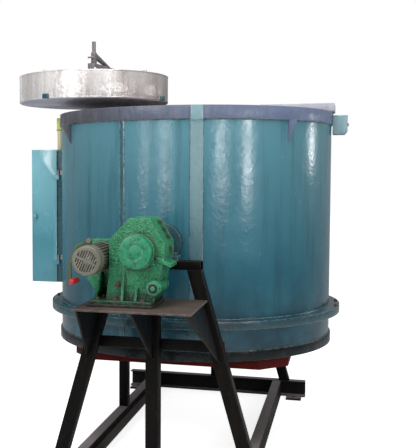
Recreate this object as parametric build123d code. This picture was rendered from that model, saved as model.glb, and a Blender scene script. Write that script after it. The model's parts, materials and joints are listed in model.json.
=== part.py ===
from build123d import *
import os
from math import acos, asin, atan2, cos, degrees, hypot, pi, radians, sin, sqrt, tan

# Tilting induction melting furnace on two A-frames, with a geared motor on a front platform.
# Millimetres, +Z up, +X towards the pouring side, front (gearbox) side at -Y.
# The origin lies on the ground, midway between the A-frames, under the tilt axis.

os.makedirs("parts", exist_ok=True)

# Drum
drum_x = 15
drum_radius = 850
drum_bottom = 655
drum_height = 1405
shell_wall = 10
band_thickness = 10
top_band_height = 75
bottom_band_height = 55
strap_width = 69
strap_thickness = 6
strap_angles = (-79, 101)
seam_angle = -108
seam_width = 26
seam_thickness = 4
gusset_angles = (-140, -42, 48, 152)
gusset_height = 120
gusset_depth = 60
gusset_thickness = 10
ring_top_above_bottom = 230
ring_projection = 63
ring_face = 45
ring_plate = 8
ring_lug_angles = (2, -178)
pan_inside_drum = 210
pan_chamfer = 150
pan_depth = 70
plate_thickness = 12

# Melting vessel inside the drum
cavity_radius = 310
lining_wall = 120
lining_floor = 100
base_block_height = 193
insulation_thickness = 12
coil_clearance = 12
coil_tube_radius = 16
coil_turns = 10
coil_above_box_floor = 60
coil_below_box_top = 83
top_block_height = 138
coil_lead_gap = 30
yoke_count = 8
yoke_width = 100
yoke_depth = 80
yoke_gap = 19
block_past_yokes = 15
yoke_start_angle = 22.5
yoke_bolt_radius = 10
mouth_gap = 10
mouth_ring_width = 80
mouth_ring_height = 30

# Launder and spout bracket
launder_past_mouth = 25
launder_past_drum = 20
launder_width = 220
launder_height = 52
launder_wall = 20
spout_bracket_top = 20
spout_bracket_height = 114
spout_bracket_reach = 95
spout_bracket_width = 150
spout_bracket_plate = 8

# Terminal box and conduit on the -X side
box_reach = 212
box_width = 260
box_above_foot = 318
box_below_rim = 214
box_wall = 4
door_gap = 2
door_hinge_reach = 26
door_thickness = 6
door_stile = 18
hinge_radius = 9
hinge_pin_radius = 4
hinge_height = 60
hinge_places = (0.19, 0.83)
knob_radius = 14
port_half_width = 90
port_margin = 35
lead_length_past_shell = 112
lead_board_thickness = 20
conduit_radius = 17
conduit_wall = 3
conduit_reach = 32
conduit_y = -85
cap_radius = 21
cap_height = 84
cap_below_rim = 6

# Lid and its swing arm
lid_radius = 478
lid_height = 168
lid_clearance = 78
lid_sheet = 4
lid_top_plate = 8
lid_lining_drop = 3
lid_open_x = -638
lid_open_y = -115
lid_closed_x = -75
lid_lug_angles = (-110, -12, 70, 168)
lid_lug_size = 40
lid_lug_depth = 14
post_reach = 100
post_radius = 35
post_length_below_rim = 350
arm_above_lid = 26
arm_height = 66
arm_width = 50
rod_size = 20
rod_gap = 0.3
rod_above_lid = 234
guide_wall = 4
guide_height = 72
brace_reach = 240
brace_thickness = 8
clamp_screw_radius = 5
running_gap = 0.1
bearing_gap = 0.05
thrust_gap = 0.3

# Tilt axis and stand
tilt_z = 1313
frame_reach = 250
rail_top = 1240
rail_height = 45
leg_size = 70
tube_wall = 5
leg_top_half = 218
leg_foot_half = 525
beam_height = 118
beam_width = 65
beam_plate = 8
cross_beam_half = 680
side_beam_half = 470
tie_top = 820
tie_height = 60
tie_thickness = 10
anchor_ear = 110
anchor_half_spacing = 600
anchor_plate = 15
anchor_hole_radius = 11
rest_post_size = 60
rest_post_y = 85
rest_pad_height = 20
rest_gap = 0.4

# Front platform
platform_top = 1044
platform_plate = 10
platform_half = 290
platform_reach = 460
bracket_drop = 314
bracket_thickness = 12

# Trunnions and their bearings
trunnion_radius = 45
trunnion_boss_radius = 105
trunnion_boss_height = 50
block_width = 70
block_length = 270
block_base = 25
block_dome = 88
bush_wall = 12
block_bolt_spacing = 220
block_bolt_radius = 9
coupling_radius = 72
coupling_length = 60
coupling_overlap = 30
trunnion_past_block = 40

# Tilt gearbox
case_past_frame = 112
case_depth_rear = 78
case_depth_front = 140
case_wall = 10
flange_lip = 17
flange_thickness = 10
case_base_plate = 15
case_top = 160
case_top_left = -44
case_top_right = 57
case_right = 128
case_right_upper = 41
case_right_lower = -26
case_left = -148
case_left_upper = 52
case_front_foot_left = -165
case_foot_left = -232
case_foot_right = 76
case_foot_reach = 58
case_foot_height = 16
base_plate_margin = 8
wing_left = -308
wing_margin = 84
output_shaft_radius = 28
round_cover_radius = 78
round_cover_height = 78
round_cover_step = 8
oil_boss_radius = 36
oil_boss_height = 60
oil_boss_x = 88
oil_boss_z = -170
rib_width = 12
left_rib_x = -221
left_rib_height = 118
middle_rib_x = -72
middle_rib_height = 150
right_rib_x = -6
right_rib_height = 74
shelf_thickness = 18
shelf_drop = 30
shelf_reach = 33
ear_width = 22
ear_height = 76
ridge_x = 20
ridge_width = 8
case_bolt_radius = 7

# Gear train: motor pinion, lay shaft, output gear on the tilt axis
pinion_teeth = 13
first_gear_teeth = 51
first_module = 4
first_face = 30
final_gear_teeth = 47
final_module = 4.5
final_face = 55
pressure_angle = 20
addendum_factor = 0.8
dedendum_factor = 1.15
backlash = 0.5
lay_shaft_radius = 15
gear_gap = 12
bearing_face = 10
bearing_width = 13

# Motor
motor_x = -224
motor_z_below = 41
motor_body_radius = 62
motor_fin_radius = 71
motor_fin_count = 28
motor_fin_thickness = 3
motor_length = 205
cowl_length = 70
cowl_radius = 73
cowl_wall = 2
grille_radius = 55
grille_slots = 9
grille_slot_width = 6
motor_bore = 50
rotor_radius = 33
motor_shaft_radius = 12
motor_flange_radius = 75
motor_flange_thickness = 12
motor_end_wall = 8
fan_blades = 7

# Brake release lever beside the motor
lever_pivot_x = -236
lever_pivot_above = 90
lever_width = 18
lever_thickness = 8
lever_from_cowl = 24
lever_pin_radius = 6
lever_end_x = -330
lever_end_drop = 212
grip_radius = 13
grip_length = 100

# Derived places
drum_top = drum_bottom + drum_height
pan_half = drum_radius - pan_inside_drum
launder_end = drum_radius + launder_past_drum
box_outer_x = drum_radius + box_reach
box_bottom = drum_bottom + box_above_foot
box_top = drum_top - box_below_rim
box_height = box_top - box_bottom
door_hinge_x = drum_radius + door_hinge_reach
conduit_x = drum_radius + conduit_reach
post_distance = drum_radius + post_reach
frame_y = drum_radius + frame_reach
trunnion_boss_face = drum_radius + trunnion_boss_height
case_back = frame_y + case_past_frame
beyond = 4 * drum_radius
shell_inner = drum_radius - shell_wall
band_outer = drum_radius + band_thickness
pan_bottom = drum_bottom - pan_depth
base_block_top = drum_bottom + plate_thickness + base_block_height
cavity_floor = base_block_top + lining_floor
top_plate_under = drum_top - plate_thickness
lining_radius = cavity_radius + lining_wall
mouth_radius = cavity_radius + mouth_gap
launder_start = mouth_radius + mouth_ring_width + launder_past_mouth
coil_radius = lining_radius + insulation_thickness + coil_clearance + coil_tube_radius
yoke_inner = coil_radius + coil_tube_radius + yoke_gap
yoke_outer = yoke_inner + yoke_depth
base_block_radius = yoke_outer + block_past_yokes
mouth_ring_top = drum_top + mouth_ring_height
lid_under = drum_top + lid_clearance
lid_top = lid_under + lid_height
arm_under = lid_top + arm_above_lid
arm_top = arm_under + arm_height
front_leg_face = frame_y + leg_size / 2
case_split = case_back + case_depth_rear
case_front = case_split + case_depth_front
case_foot_z = platform_top + case_base_plate - tilt_z
motor_z = tilt_z - motor_z_below
axis_foot = rail_top


def save(name, shape):
    export_step(shape, f"parts/{name}.step")


def block(x0, x1, y0, y1, z0, z1):
    size = Box(x1 - x0, y1 - y0, z1 - z0)
    return Pos((x0 + x1) / 2, (y0 + y1) / 2, (z0 + z1) / 2) * size


def upright(radius, z0, z1, x=0, y=0):
    return Pos(x, y, (z0 + z1) / 2) * Cylinder(radius, z1 - z0)


def ring(outer, inner, z0, z1, x=0, y=0):
    return upright(outer, z0, z1, x, y) - upright(inner, z0 - 1, z1 + 1, x, y)


def along_y(radius, y0, y1, x=0, z=0):
    return Pos(x, (y0 + y1) / 2, z) * Rot(90, 0, 0) * Cylinder(radius, abs(y1 - y0))


def collar_y(outer, inner, y0, y1, x=0, z=0):
    return along_y(outer, y0, y1, x, z) - along_y(inner, y0 - 1, y1 + 1, x, z)


def profile_y(points, y0, y1):
    """Prism along Y whose X-Z outline is the list of points."""
    outline = make_face(Polyline(*[(x, y0, z) for x, z in points], close=True))
    return extrude(outline, amount=y1 - y0, dir=(0, 1, 0))


def turned(angle, shape):
    return Rot(0, 0, angle) * shape


def on_drum(shape):
    return Pos(drum_x, 0, 0) * shape


def group(shapes):
    return Compound([solid for shape in shapes for solid in shape.solids()])


# Stand: ground beams
def channel_x(x0, x1, y, z0, z1, opens):
    """Channel along X, its web on the side away from opens (+1 or -1 in Y)."""
    inner = block(x0 - 1, x1 + 1, y - beam_width / 2, y + beam_width / 2, z0 + beam_plate, z1 - beam_plate)
    outer = block(x0, x1, y - beam_width / 2, y + beam_width / 2, z0, z1)
    return outer - Pos(0, opens * beam_plate, 0) * inner


anchor_y = frame_y - beam_width / 2 - anchor_ear / 2


def anchor_ear_at(x, side):
    """Plate with a bolt hole on the inner long side of a cross beam, out of sight from outside."""
    middle = side * anchor_y
    ear = block(x - anchor_ear / 2, x + anchor_ear / 2, middle - anchor_ear / 2, middle + anchor_ear / 2,
                0, anchor_plate)
    return ear - upright(anchor_hole_radius, -1, anchor_plate + 1, x, middle)


for name, side in (("front", -1), ("rear", 1)):
    y = side * frame_y
    beam = channel_x(-cross_beam_half, cross_beam_half, y, 0, beam_height, -side)
    for x in (-anchor_half_spacing, anchor_half_spacing):
        beam += anchor_ear_at(x, side)
    save(f"{name}_cross_beam", beam)

side_beam_end = frame_y - beam_width / 2
for name, side in (("left", -1), ("right", 1)):
    x = side * side_beam_half
    solid = block(x - beam_width / 2, x + beam_width / 2, -side_beam_end, side_beam_end, 0, beam_height)
    hollow = block(x - beam_width / 2, x + beam_width / 2, -side_beam_end - 1, side_beam_end + 1,
                   beam_plate, beam_height - beam_plate)
    save(f"{name}_side_beam", solid - Pos(-side * beam_plate, 0, 0) * hollow)


# Stand: A-frames
rail_under = rail_top - rail_height


def leg_half(z):
    """Distance of a sloping leg's centre line from the frame's middle at height z."""
    share = (rail_under - z) / (rail_under - beam_height)
    return leg_top_half + (leg_foot_half - leg_top_half) * share


leg_slope = (leg_foot_half - leg_top_half) / (rail_under - beam_height)
leg_cut_half = leg_size / 2 * sqrt(1 + leg_slope**2)
wall_cut = tube_wall * sqrt(1 + leg_slope**2)


def sloping_leg(side, y):
    def outline(half):
        foot = side * leg_half(beam_height)
        head = side * leg_half(rail_under)
        return [(foot - half, beam_height), (foot + half, beam_height),
                (head + half, rail_under), (head - half, rail_under)]

    outer = profile_y(outline(leg_cut_half), y - leg_size / 2, y + leg_size / 2)
    inner_half = leg_size / 2 - tube_wall
    inner = profile_y(outline(leg_cut_half - wall_cut), y - inner_half, y + inner_half)
    return outer - inner


def box_tube_z(x, y, z0, z1, size):
    inner = size - 2 * tube_wall
    return (Pos(x, y, (z0 + z1) / 2) * Box(size, size, z1 - z0)
            - Pos(x, y, (z0 + z1) / 2) * Box(inner, inner, z1 - z0 + 2))


rail_half = leg_top_half + leg_cut_half
for name, side in (("front", -1), ("rear", 1)):
    y = side * frame_y
    middle_leg = box_tube_z(0, y, beam_height, rail_under, leg_size)
    save(f"{name}_legs", group([sloping_leg(-1, y), middle_leg, sloping_leg(1, y)]))
    rail = block(-rail_half, rail_half, y - leg_size / 2, y + leg_size / 2, rail_under, rail_top)
    bore = block(-rail_half - 1, rail_half + 1, y - leg_size / 2 + tube_wall, y + leg_size / 2 - tube_wall,
                 rail_under + tube_wall, rail_top - tube_wall)
    tie_face = side * (frame_y - leg_size / 2)
    tie_inner = tie_face - side * tie_thickness
    tie_half = leg_half(tie_top - tie_height / 2) + leg_size / 2
    tie = block(-tie_half, tie_half, min(tie_face, tie_inner), max(tie_face, tie_inner),
                tie_top - tie_height, tie_top)
    save(f"{name}_rails", group([rail - bore, tie]))

# Stand: rest post that the drum lies back on
rest_pad_top = pan_bottom - rest_gap
rest_post_top = rest_pad_top - rest_pad_height
save("rest_post", box_tube_z(-side_beam_half, rest_post_y, beam_height, rest_post_top, rest_post_size))
rest_pad_half = rest_post_size / 2
save("rest_pad", block(-side_beam_half - rest_pad_half, -side_beam_half + rest_pad_half,
                       rest_post_y - rest_pad_half, rest_post_y + rest_pad_half, rest_post_top, rest_pad_top))

# Front platform and its brackets
platform_front = front_leg_face + platform_reach
platform_under = platform_top - platform_plate
save("platform_plate", block(-platform_half, platform_half, -platform_front, -front_leg_face,
                             platform_under, platform_top))
bracket_foot = platform_under - bracket_drop


def platform_bracket(side):
    high_x = side * leg_half(platform_under)
    low_x = side * leg_half(bracket_foot)
    half = bracket_thickness / 2
    corners = [(high_x - half, -platform_front, platform_under),
               (high_x - half, -front_leg_face, platform_under),
               (low_x - half, -front_leg_face, bracket_foot)]
    face = make_face(Polyline(*corners, close=True))
    return extrude(face, amount=bracket_thickness, dir=(1, 0, 0))


save("platform_brackets", group([platform_bracket(-1), platform_bracket(0), platform_bracket(1)]))


# Bearing blocks on the top rails
bore_radius = trunnion_radius + bearing_gap
bush_outer = bore_radius + bush_wall


def bearing_block(y):
    base = block(-block_length / 2, block_length / 2, y - block_width / 2, y + block_width / 2,
                 axis_foot, axis_foot + block_base)
    pedestal = block(-block_dome, block_dome, y - block_width / 2 + 6, y + block_width / 2 - 6,
                     axis_foot, tilt_z)
    dome = along_y(block_dome, y - block_width / 2 + 6, y + block_width / 2 - 6, 0, tilt_z)
    body = base + pedestal + (dome & block(-beyond, beyond, -beyond, beyond, axis_foot, beyond))
    body -= along_y(bush_outer, y - block_width, y + block_width, 0, tilt_z)
    for side in (-1, 1):
        hole_x = side * block_bolt_spacing / 2
        body -= upright(block_bolt_radius, axis_foot - 1, axis_foot + block_base + 1, hole_x, y)
    return body


def block_bolts(y):
    bolts = []
    for side in (-1, 1):
        x = side * block_bolt_spacing / 2
        top = axis_foot + block_base
        shank = upright(block_bolt_radius, axis_foot, top, x, y)
        head = Pos(x, y, top + 7) * extrude(RegularPolygon(14, 6), amount=7, both=True)
        bolts.append(shank + head)
    return group(bolts)


block_half = block_width / 2
for name, side in (("front", -1), ("rear", 1)):
    y = side * frame_y
    bush = collar_y(bush_outer, bore_radius, y - block_half + 6, y + block_half - 6, 0, tilt_z)
    save(f"{name}_bearing", group([bearing_block(y), bush, block_bolts(y)]))


# Gears
def gear_y(teeth, module, y0, y1, x, z, phase, bore):
    """Involute spur gear with its axis along Y; one tooth points at the phase angle in X-Z."""
    pitch = teeth * module / 2
    base = pitch * cos(radians(pressure_angle))
    tip = pitch + addendum_factor * module
    root = pitch - dedendum_factor * module
    flank_low = max(base, root)

    def involute(radius):
        angle = acos(min(1, base / radius))
        return tan(angle) - angle

    half_pitch = (pi * module / 2 - backlash / 2) / (2 * pitch)
    at_pitch = involute(pitch)
    radii = [flank_low, (flank_low + pitch) / 2, pitch, (pitch + tip) / 2, tip]
    halves = [half_pitch + at_pitch - involute(r) for r in radii]
    flank = [(root, halves[0])] + list(zip(radii, halves)) if root < flank_low else list(zip(radii, halves))
    points = []
    for number in range(teeth):
        middle = radians(phase) + 2 * pi * number / teeth
        points += [(r, middle - a) for r, a in flank]
        points += [(r, middle + a) for r, a in reversed(flank)]
    outline = [(x + r * cos(a), z + r * sin(a)) for r, a in points]
    return profile_y(outline, y0, y1) - along_y(bore, y0 - 1, y1 + 1, x, z)


first_distance = (pinion_teeth + first_gear_teeth) * first_module / 2
final_distance = (pinion_teeth + final_gear_teeth) * final_module / 2
motor_distance = hypot(motor_x, motor_z_below)
motor_direction = atan2(-motor_z_below, motor_x)
lay_turn = acos((final_distance**2 + motor_distance**2 - first_distance**2)
                / (2 * final_distance * motor_distance))
lay_x = final_distance * cos(motor_direction + lay_turn)
lay_z = tilt_z + final_distance * sin(motor_direction + lay_turn)
lay_to_motor = degrees(atan2(motor_z - lay_z, motor_x - lay_x))
lay_to_output = degrees(atan2(tilt_z - lay_z, -lay_x))

first_y1 = -(case_back + case_wall + gear_gap)
first_y0 = first_y1 - first_face
final_y0 = -(case_front - case_wall - gear_gap)
final_y1 = final_y0 + final_face
save("motor_pinion", gear_y(pinion_teeth, first_module, first_y0, first_y1, motor_x, motor_z,
                            lay_to_motor + 180, motor_shaft_radius))
save("lay_shaft_gear", gear_y(first_gear_teeth, first_module, first_y0, first_y1, lay_x, lay_z,
                              lay_to_motor + 180 / first_gear_teeth, lay_shaft_radius))
lay_shaft = along_y(lay_shaft_radius, -case_front + case_wall + 1, -case_back - case_wall - 1, lay_x, lay_z)
lay_pinion = gear_y(pinion_teeth, final_module, final_y0, final_y1, lay_x, lay_z, lay_to_output,
                    lay_shaft_radius)
save("lay_shaft", lay_shaft + lay_pinion)
save("output_gear", gear_y(final_gear_teeth, final_module, final_y0, final_y1, 0, tilt_z,
                           lay_to_output + 180 + 180 / final_gear_teeth, output_shaft_radius))

# Gearbox housing
wing_high = -motor_z_below + wing_margin
wing_low = -motor_z_below - wing_margin
wing_cut = (wing_high - wing_low) / 3
shared_outline = [(case_foot_right, case_foot_z), (case_right, case_right_lower),
                  (case_right, case_right_upper), (case_top_right, case_top), (case_top_left, case_top)]
front_left_side = [(case_left, case_left_upper), (case_left, wing_low)]
motor_wing = [(motor_x + wing_cut, wing_high), (wing_left + wing_cut / 2, wing_high),
              (wing_left, wing_high - wing_cut / 2), (wing_left, wing_low - wing_cut / 2)]
front_outline = [(case_front_foot_left, case_foot_z)] + shared_outline + front_left_side
rear_outline = [(case_foot_left, case_foot_z)] + shared_outline + motor_wing


def case_prism(outline, y0, y1, grow=0):
    face = make_face(Polyline(*[(x, y0, tilt_z + z) for x, z in outline], close=True))
    if grow:
        face = offset(face, amount=grow, kind=Kind.INTERSECTION)
    return extrude(face, amount=y1 - y0, dir=(0, 1, 0))


def bearing_ring(radius, y0, y1, x, z):
    return collar_y(radius + bearing_width, radius + bearing_gap, y0, y1, x, z)


def bearing_pair(y0, y1):
    """Bearing rings of the output shaft and the lay shaft on one inner wall."""
    output_ring = bearing_ring(output_shaft_radius, y0, y1, 0, tilt_z)
    lay_ring = bearing_ring(lay_shaft_radius, y0, y1, lay_x, lay_z)
    return [output_ring, lay_ring]


def rear_housing():
    body = case_prism(rear_outline, -case_split, -case_back)
    body -= case_prism(rear_outline, -case_split + case_wall, -case_back - case_wall, -case_wall)
    body -= case_prism(front_outline, -case_split - 1, -case_split + case_wall + 1, -case_wall)
    body -= along_y(output_shaft_radius + 3, -case_split, -case_back + 1, 0, tilt_z)
    body -= along_y(motor_shaft_radius + 6, -case_split - 1, -case_split + case_wall + 1, motor_x, motor_z)
    return body


def foot_rib(x, height, wall_y, toe_y):
    """Three-cornered rib from a toe on the foot up to a wall."""
    foot = tilt_z + case_foot_z + case_foot_height
    left = x - rib_width / 2
    corners = [(left, wall_y, foot), (left, toe_y, foot), (left, wall_y, foot + height)]
    return extrude(make_face(Polyline(*corners, close=True)), amount=rib_width, dir=(1, 0, 0))


def ear(gap):
    """Small block beside the round cover, grown by a gap where it is cut out of the cover."""
    high = tilt_z + case_right_lower + ear_height / 2
    return block(round_cover_radius - ear_width - gap, round_cover_radius + gap,
                 -case_front - shelf_thickness - gap, -case_front,
                 high - ear_height - gap, high + gap)


def front_housing():
    body = case_prism(front_outline, -case_front, -case_split)
    flange = case_prism(front_outline, -case_split - flange_thickness, -case_split, flange_lip)
    right_side = block(case_top_right - flange_lip, beyond, -beyond, 0,
                       tilt_z + case_right_lower, tilt_z + case_top - 4)
    body += flange & right_side
    foot_z = tilt_z + case_foot_z
    body += block(case_foot_left, case_foot_right, -case_front - case_foot_reach, -case_split,
                  foot_z, foot_z + case_foot_height)
    body += along_y(oil_boss_radius, -case_front, -case_split, oil_boss_x, tilt_z + oil_boss_z)
    toe_y = -case_front - case_foot_reach + rib_width
    body += foot_rib(left_rib_x, left_rib_height, -case_split, -case_front)
    body += foot_rib(middle_rib_x, middle_rib_height, -case_front, toe_y)
    body += foot_rib(right_rib_x, right_rib_height, -case_front, toe_y)
    shelf_start = round_cover_radius + round_cover_step + 3
    shelf = [(shelf_start, case_right_lower), (case_right + shelf_reach, case_right_lower - shelf_drop),
             (case_right + shelf_reach, case_right_lower - shelf_drop - shelf_thickness),
             (shelf_start, case_right_lower - shelf_thickness)]
    body += case_prism(shelf, -case_front - 10, -case_split)
    body += ear(0)
    body += block(ridge_x - ridge_width / 2, ridge_x + ridge_width / 2,
                  -case_front - ridge_width, -case_front,
                  tilt_z + round_cover_radius - ridge_width, tilt_z + case_top - 50)
    body -= case_prism(front_outline, -case_front + case_wall, -case_split + 1, -case_wall)
    body -= along_y(output_shaft_radius + 3, -case_front - 1, -case_split, 0, tilt_z)
    return body


back_inner = -case_back - case_wall
front_inner = -case_front + case_wall
rear_bearings = bearing_pair(back_inner - bearing_face, back_inner)
front_bearings = bearing_pair(front_inner, front_inner + bearing_face)
save("gearbox_rear_housing", group([rear_housing()] + rear_bearings))
save("gearbox_front_housing", group([front_housing()] + front_bearings))

cover_face = -case_front - round_cover_height
cover = along_y(round_cover_radius, cover_face, -case_front, 0, tilt_z)
cover += along_y(round_cover_radius + round_cover_step, -case_front - round_cover_height / 2, -case_front,
                 0, tilt_z)
groove_outer = round_cover_radius * 0.5
groove_inner = round_cover_radius * 0.44
cover -= collar_y(groove_outer, groove_inner, cover_face - 1, cover_face + 2, 0, tilt_z)
cover -= along_y(output_shaft_radius + 8, -case_front - 20, -case_front + 1, 0, tilt_z)
cover -= ear(0.5)
cover -= block(ridge_x - ridge_width, ridge_x + ridge_width, -case_front - ridge_width - 1, -case_front + 1,
               tilt_z + round_cover_radius - ridge_width - 1, beyond)
boss_face = -case_front - oil_boss_height
boss_x = oil_boss_x
boss_z = tilt_z + oil_boss_z
boss = along_y(oil_boss_radius, boss_face, -case_front, boss_x, boss_z)
boss += along_y(oil_boss_radius - 8, boss_face - 10, boss_face, boss_x, boss_z)
boss += along_y(oil_boss_radius * 0.3, boss_face - 18, boss_face - 9, boss_x, boss_z)
save("gearbox_covers", group([cover, boss]))
save("gearbox_base_plate", block(case_foot_left - base_plate_margin, case_foot_right + base_plate_margin,
                                 -case_front - case_foot_reach - base_plate_margin,
                                 -case_back + base_plate_margin,
                                 platform_top, platform_top + case_base_plate))


def case_bolts():
    """Flange bolts down the right side of the split between the two housings."""
    slope = hypot(case_right - case_top_right, case_top - case_right_upper)
    out_x = (case_top - case_right_upper) / slope
    out_z = (case_right - case_top_right) / slope
    reach = flange_lip / 2 + 0.5
    places = [(case_right + reach, (case_right_upper + case_right_lower) / 2)]
    for share in (0.2, 0.5, 0.8):
        x = case_top_right + share * (case_right - case_top_right)
        z = case_top + share * (case_right_upper - case_top)
        places.append((x + reach * out_x, z + reach * out_z))
    bolts = []
    for x, z in places:
        head = Pos(x, -case_split - flange_thickness - 6, tilt_z + z) * Rot(90, 0, 0)
        bolts.append(head * extrude(RegularPolygon(case_bolt_radius, 6), amount=6, both=True))
    return group(bolts)


save("gearbox_flange_bolts", case_bolts())

# Output shaft, coupling and trunnions
coupling_back = -(frame_y + block_half + 10)
coupling_front = coupling_back - coupling_length
trunnion_end = coupling_back - coupling_overlap
coupling = along_y(coupling_radius, coupling_front, coupling_back, 0, tilt_z)
coupling -= along_y(trunnion_radius, trunnion_end, coupling_back + 1, 0, tilt_z)
coupling -= along_y(output_shaft_radius, coupling_front - 1, trunnion_end + 1, 0, tilt_z)
save("drive_coupling", coupling)
save("gearbox_output_shaft", along_y(output_shaft_radius, -case_front - 12, trunnion_end, 0, tilt_z))
drum_solid = on_drum(upright(drum_radius, 0, beyond))
rear_trunnion_end = frame_y + block_half + trunnion_past_block
for name, side, end in (("front", -1, trunnion_end), ("rear", 1, rear_trunnion_end)):
    boss = along_y(trunnion_boss_radius, side * (drum_radius - 60), side * trunnion_boss_face, 0, tilt_z)
    stub = along_y(trunnion_radius, side * (trunnion_boss_face - 1), end, 0, tilt_z)
    save(f"{name}_trunnion", boss - drum_solid + stub)


# Motor
motor_back = -case_split
motor_front = motor_back - motor_length


def motor_body():
    body = along_y(motor_body_radius, motor_front, motor_back, motor_x, motor_z)
    for number in range(motor_fin_count):
        fin = Box(2 * motor_fin_radius, motor_length - motor_flange_thickness, motor_fin_thickness)
        turn = 180 * number / motor_fin_count
        middle = (motor_front + motor_back - motor_flange_thickness) / 2
        if number < motor_fin_count / 2:
            body += Pos(motor_x, middle, motor_z) * Rot(0, 2 * turn, 0) * fin
    body += along_y(motor_flange_radius, motor_back - motor_flange_thickness, motor_back, motor_x, motor_z)
    lug_y = motor_front + lever_from_cowl
    body += block(lever_pivot_x - 12, lever_pivot_x + 12, lug_y, lug_y + 12,
                  motor_z + motor_body_radius - 10, motor_z + lever_pivot_above + 12)
    bore_end = motor_back - motor_flange_thickness
    body -= along_y(motor_bore, motor_front + motor_end_wall, bore_end, motor_x, motor_z)
    body -= along_y(motor_shaft_radius + bearing_gap, motor_front - 1, motor_back + 1, motor_x, motor_z)
    pin_front = lug_y - 1 - lever_thickness
    body += along_y(lever_pin_radius, pin_front - 6, lug_y + 1, lever_pivot_x, motor_z + lever_pivot_above)
    body += along_y(11, pin_front - 7, pin_front - 1, lever_pivot_x, motor_z + lever_pivot_above)
    return body


stator = collar_y(motor_bore, rotor_radius + 1, motor_front + 45, motor_back - 45, motor_x, motor_z)
save("motor_body", group([motor_body(), stator]))
fan_y = motor_front - cowl_length / 2
rotor = along_y(rotor_radius, motor_front + 45, motor_back - 45, motor_x, motor_z)
save("motor_rotor", rotor + along_y(motor_shaft_radius, fan_y - 14, first_y1, motor_x, motor_z))


def motor_cowl():
    front = motor_front - cowl_length
    body = along_y(cowl_radius, front, motor_front, motor_x, motor_z)
    inner_radius = cowl_radius - cowl_wall
    body -= along_y(inner_radius, front + cowl_wall, motor_front + 1, motor_x, motor_z)
    step = 2 * grille_radius / grille_slots
    for number in range(grille_slots):
        x = -grille_radius + step * (number + 0.5)
        half = sqrt(grille_radius**2 - x**2)
        for z0, z1 in ((-half, -6), (6, half)):
            if z1 - z0 > 8:
                body -= block(motor_x + x - grille_slot_width / 2, motor_x + x + grille_slot_width / 2,
                              front - 1, front + cowl_wall + 1, motor_z + z0, motor_z + z1)
    body += collar_y(inner_radius, motor_body_radius, motor_front - 6, motor_front, motor_x, motor_z)
    return body


save("motor_cowl", motor_cowl())


def motor_fan():
    body = along_y(20, fan_y - 12, fan_y + 12, motor_x, motor_z)
    for number in range(fan_blades):
        blade = Pos(36, 0, 0) * Box(44, 24, 3)
        body += Pos(motor_x, fan_y, motor_z) * Rot(0, 360 * number / fan_blades, 0) * blade
    return body - along_y(motor_shaft_radius, fan_y - 13, fan_y + 13, motor_x, motor_z)


save("motor_fan", motor_fan())

# Brake release lever: a curved strap round the motor with a grip at its low end
lever_back = motor_front + lever_from_cowl - 1
lever_front = lever_back - lever_thickness
pivot_z = motor_z + lever_pivot_above
lever_low_z = pivot_z - lever_end_drop
lever_line = FilletPolyline((lever_pivot_x, lever_front, pivot_z),
                            (lever_pivot_x - 62, lever_front, pivot_z - 28),
                            (lever_end_x - 6, lever_front, pivot_z - 120),
                            (lever_end_x, lever_front, lever_low_z),
                            (lever_end_x + 46, lever_front, lever_low_z + 22), radius=16)


def release_lever():
    spine = Plane.XZ.offset(-lever_front).to_local_coords(lever_line)
    strap = trace(spine, lever_width)
    solid = Plane.XZ.offset(-lever_front) * extrude(strap, amount=-lever_thickness)
    solid += along_y(15, lever_front, lever_back, lever_pivot_x, pivot_z)
    hole_radius = lever_pin_radius + running_gap
    return solid - along_y(hole_radius, lever_front - 1, lever_back + 1, lever_pivot_x, pivot_z)


save("release_lever", release_lever())
save("lever_grip", along_y(grip_radius, lever_front - grip_length, lever_front,
                           lever_end_x + 36, lever_low_z + 22))


# Drum shell and its bands
def arc_strap(inner, outer, width, z0, z1, angle):
    piece = ring(outer, inner, z0, z1) & block(0, outer + 10, -width / 2, width / 2, z0, z1)
    return turned(angle, piece)


port = block(-drum_radius - 20, -drum_radius + 60, -port_half_width, port_half_width,
             box_bottom + port_margin, box_top - port_margin)
save("drum_shell", on_drum(ring(drum_radius, shell_inner, drum_bottom, drum_top) - port))
top_band = ring(band_outer, drum_radius, drum_top - top_band_height, drum_top)
bottom_band = ring(band_outer, drum_radius, drum_bottom, drum_bottom + bottom_band_height)
save("drum_bands", on_drum(group([top_band, bottom_band])))


def vertical_strap(angle):
    band_low = drum_top - top_band_height
    foot = drum_bottom + bottom_band_height
    lower = arc_strap(drum_radius, drum_radius + strap_thickness, strap_width, foot, band_low, angle)
    step = arc_strap(drum_radius, band_outer + strap_thickness, strap_width, band_low - strap_thickness,
                     band_low, angle)
    upper = arc_strap(band_outer, band_outer + strap_thickness, strap_width, band_low, drum_top, angle)
    return lower + step + upper


ring_top = drum_bottom + ring_top_above_bottom
ring_outer = drum_radius + ring_projection


def stiffener():
    body = ring(ring_outer, drum_radius, ring_top - ring_plate, ring_top)
    return body + ring(ring_outer, ring_outer - ring_plate, ring_top - ring_face, ring_top)


ring_space = ring(ring_outer + 1, drum_radius - 1, ring_top - ring_plate, ring_top)
seam = arc_strap(drum_radius, drum_radius + seam_thickness, seam_width, drum_bottom + bottom_band_height,
                 drum_top - top_band_height, seam_angle)


def ring_lug(angle):
    lug = block(ring_outer - ring_plate - 32, ring_outer - ring_plate, -18, 18,
                ring_top - ring_face - 22, ring_top - ring_plate)
    return turned(angle, lug)


ring_body = stiffener()
for angle in ring_lug_angles:
    ring_body += ring_lug(angle)
save("stiffener_ring", on_drum(ring_body))


def rim_gusset(angle):
    top = drum_top - top_band_height
    start = drum_radius
    points = [(start, top), (start + gusset_depth, top), (start + gusset_depth, top - 12),
              (start, top - gusset_height)]
    plate = profile_y(points, -gusset_thickness / 2, gusset_thickness / 2)
    return turned(angle, plate - upright(drum_radius, 0, beyond))


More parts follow.
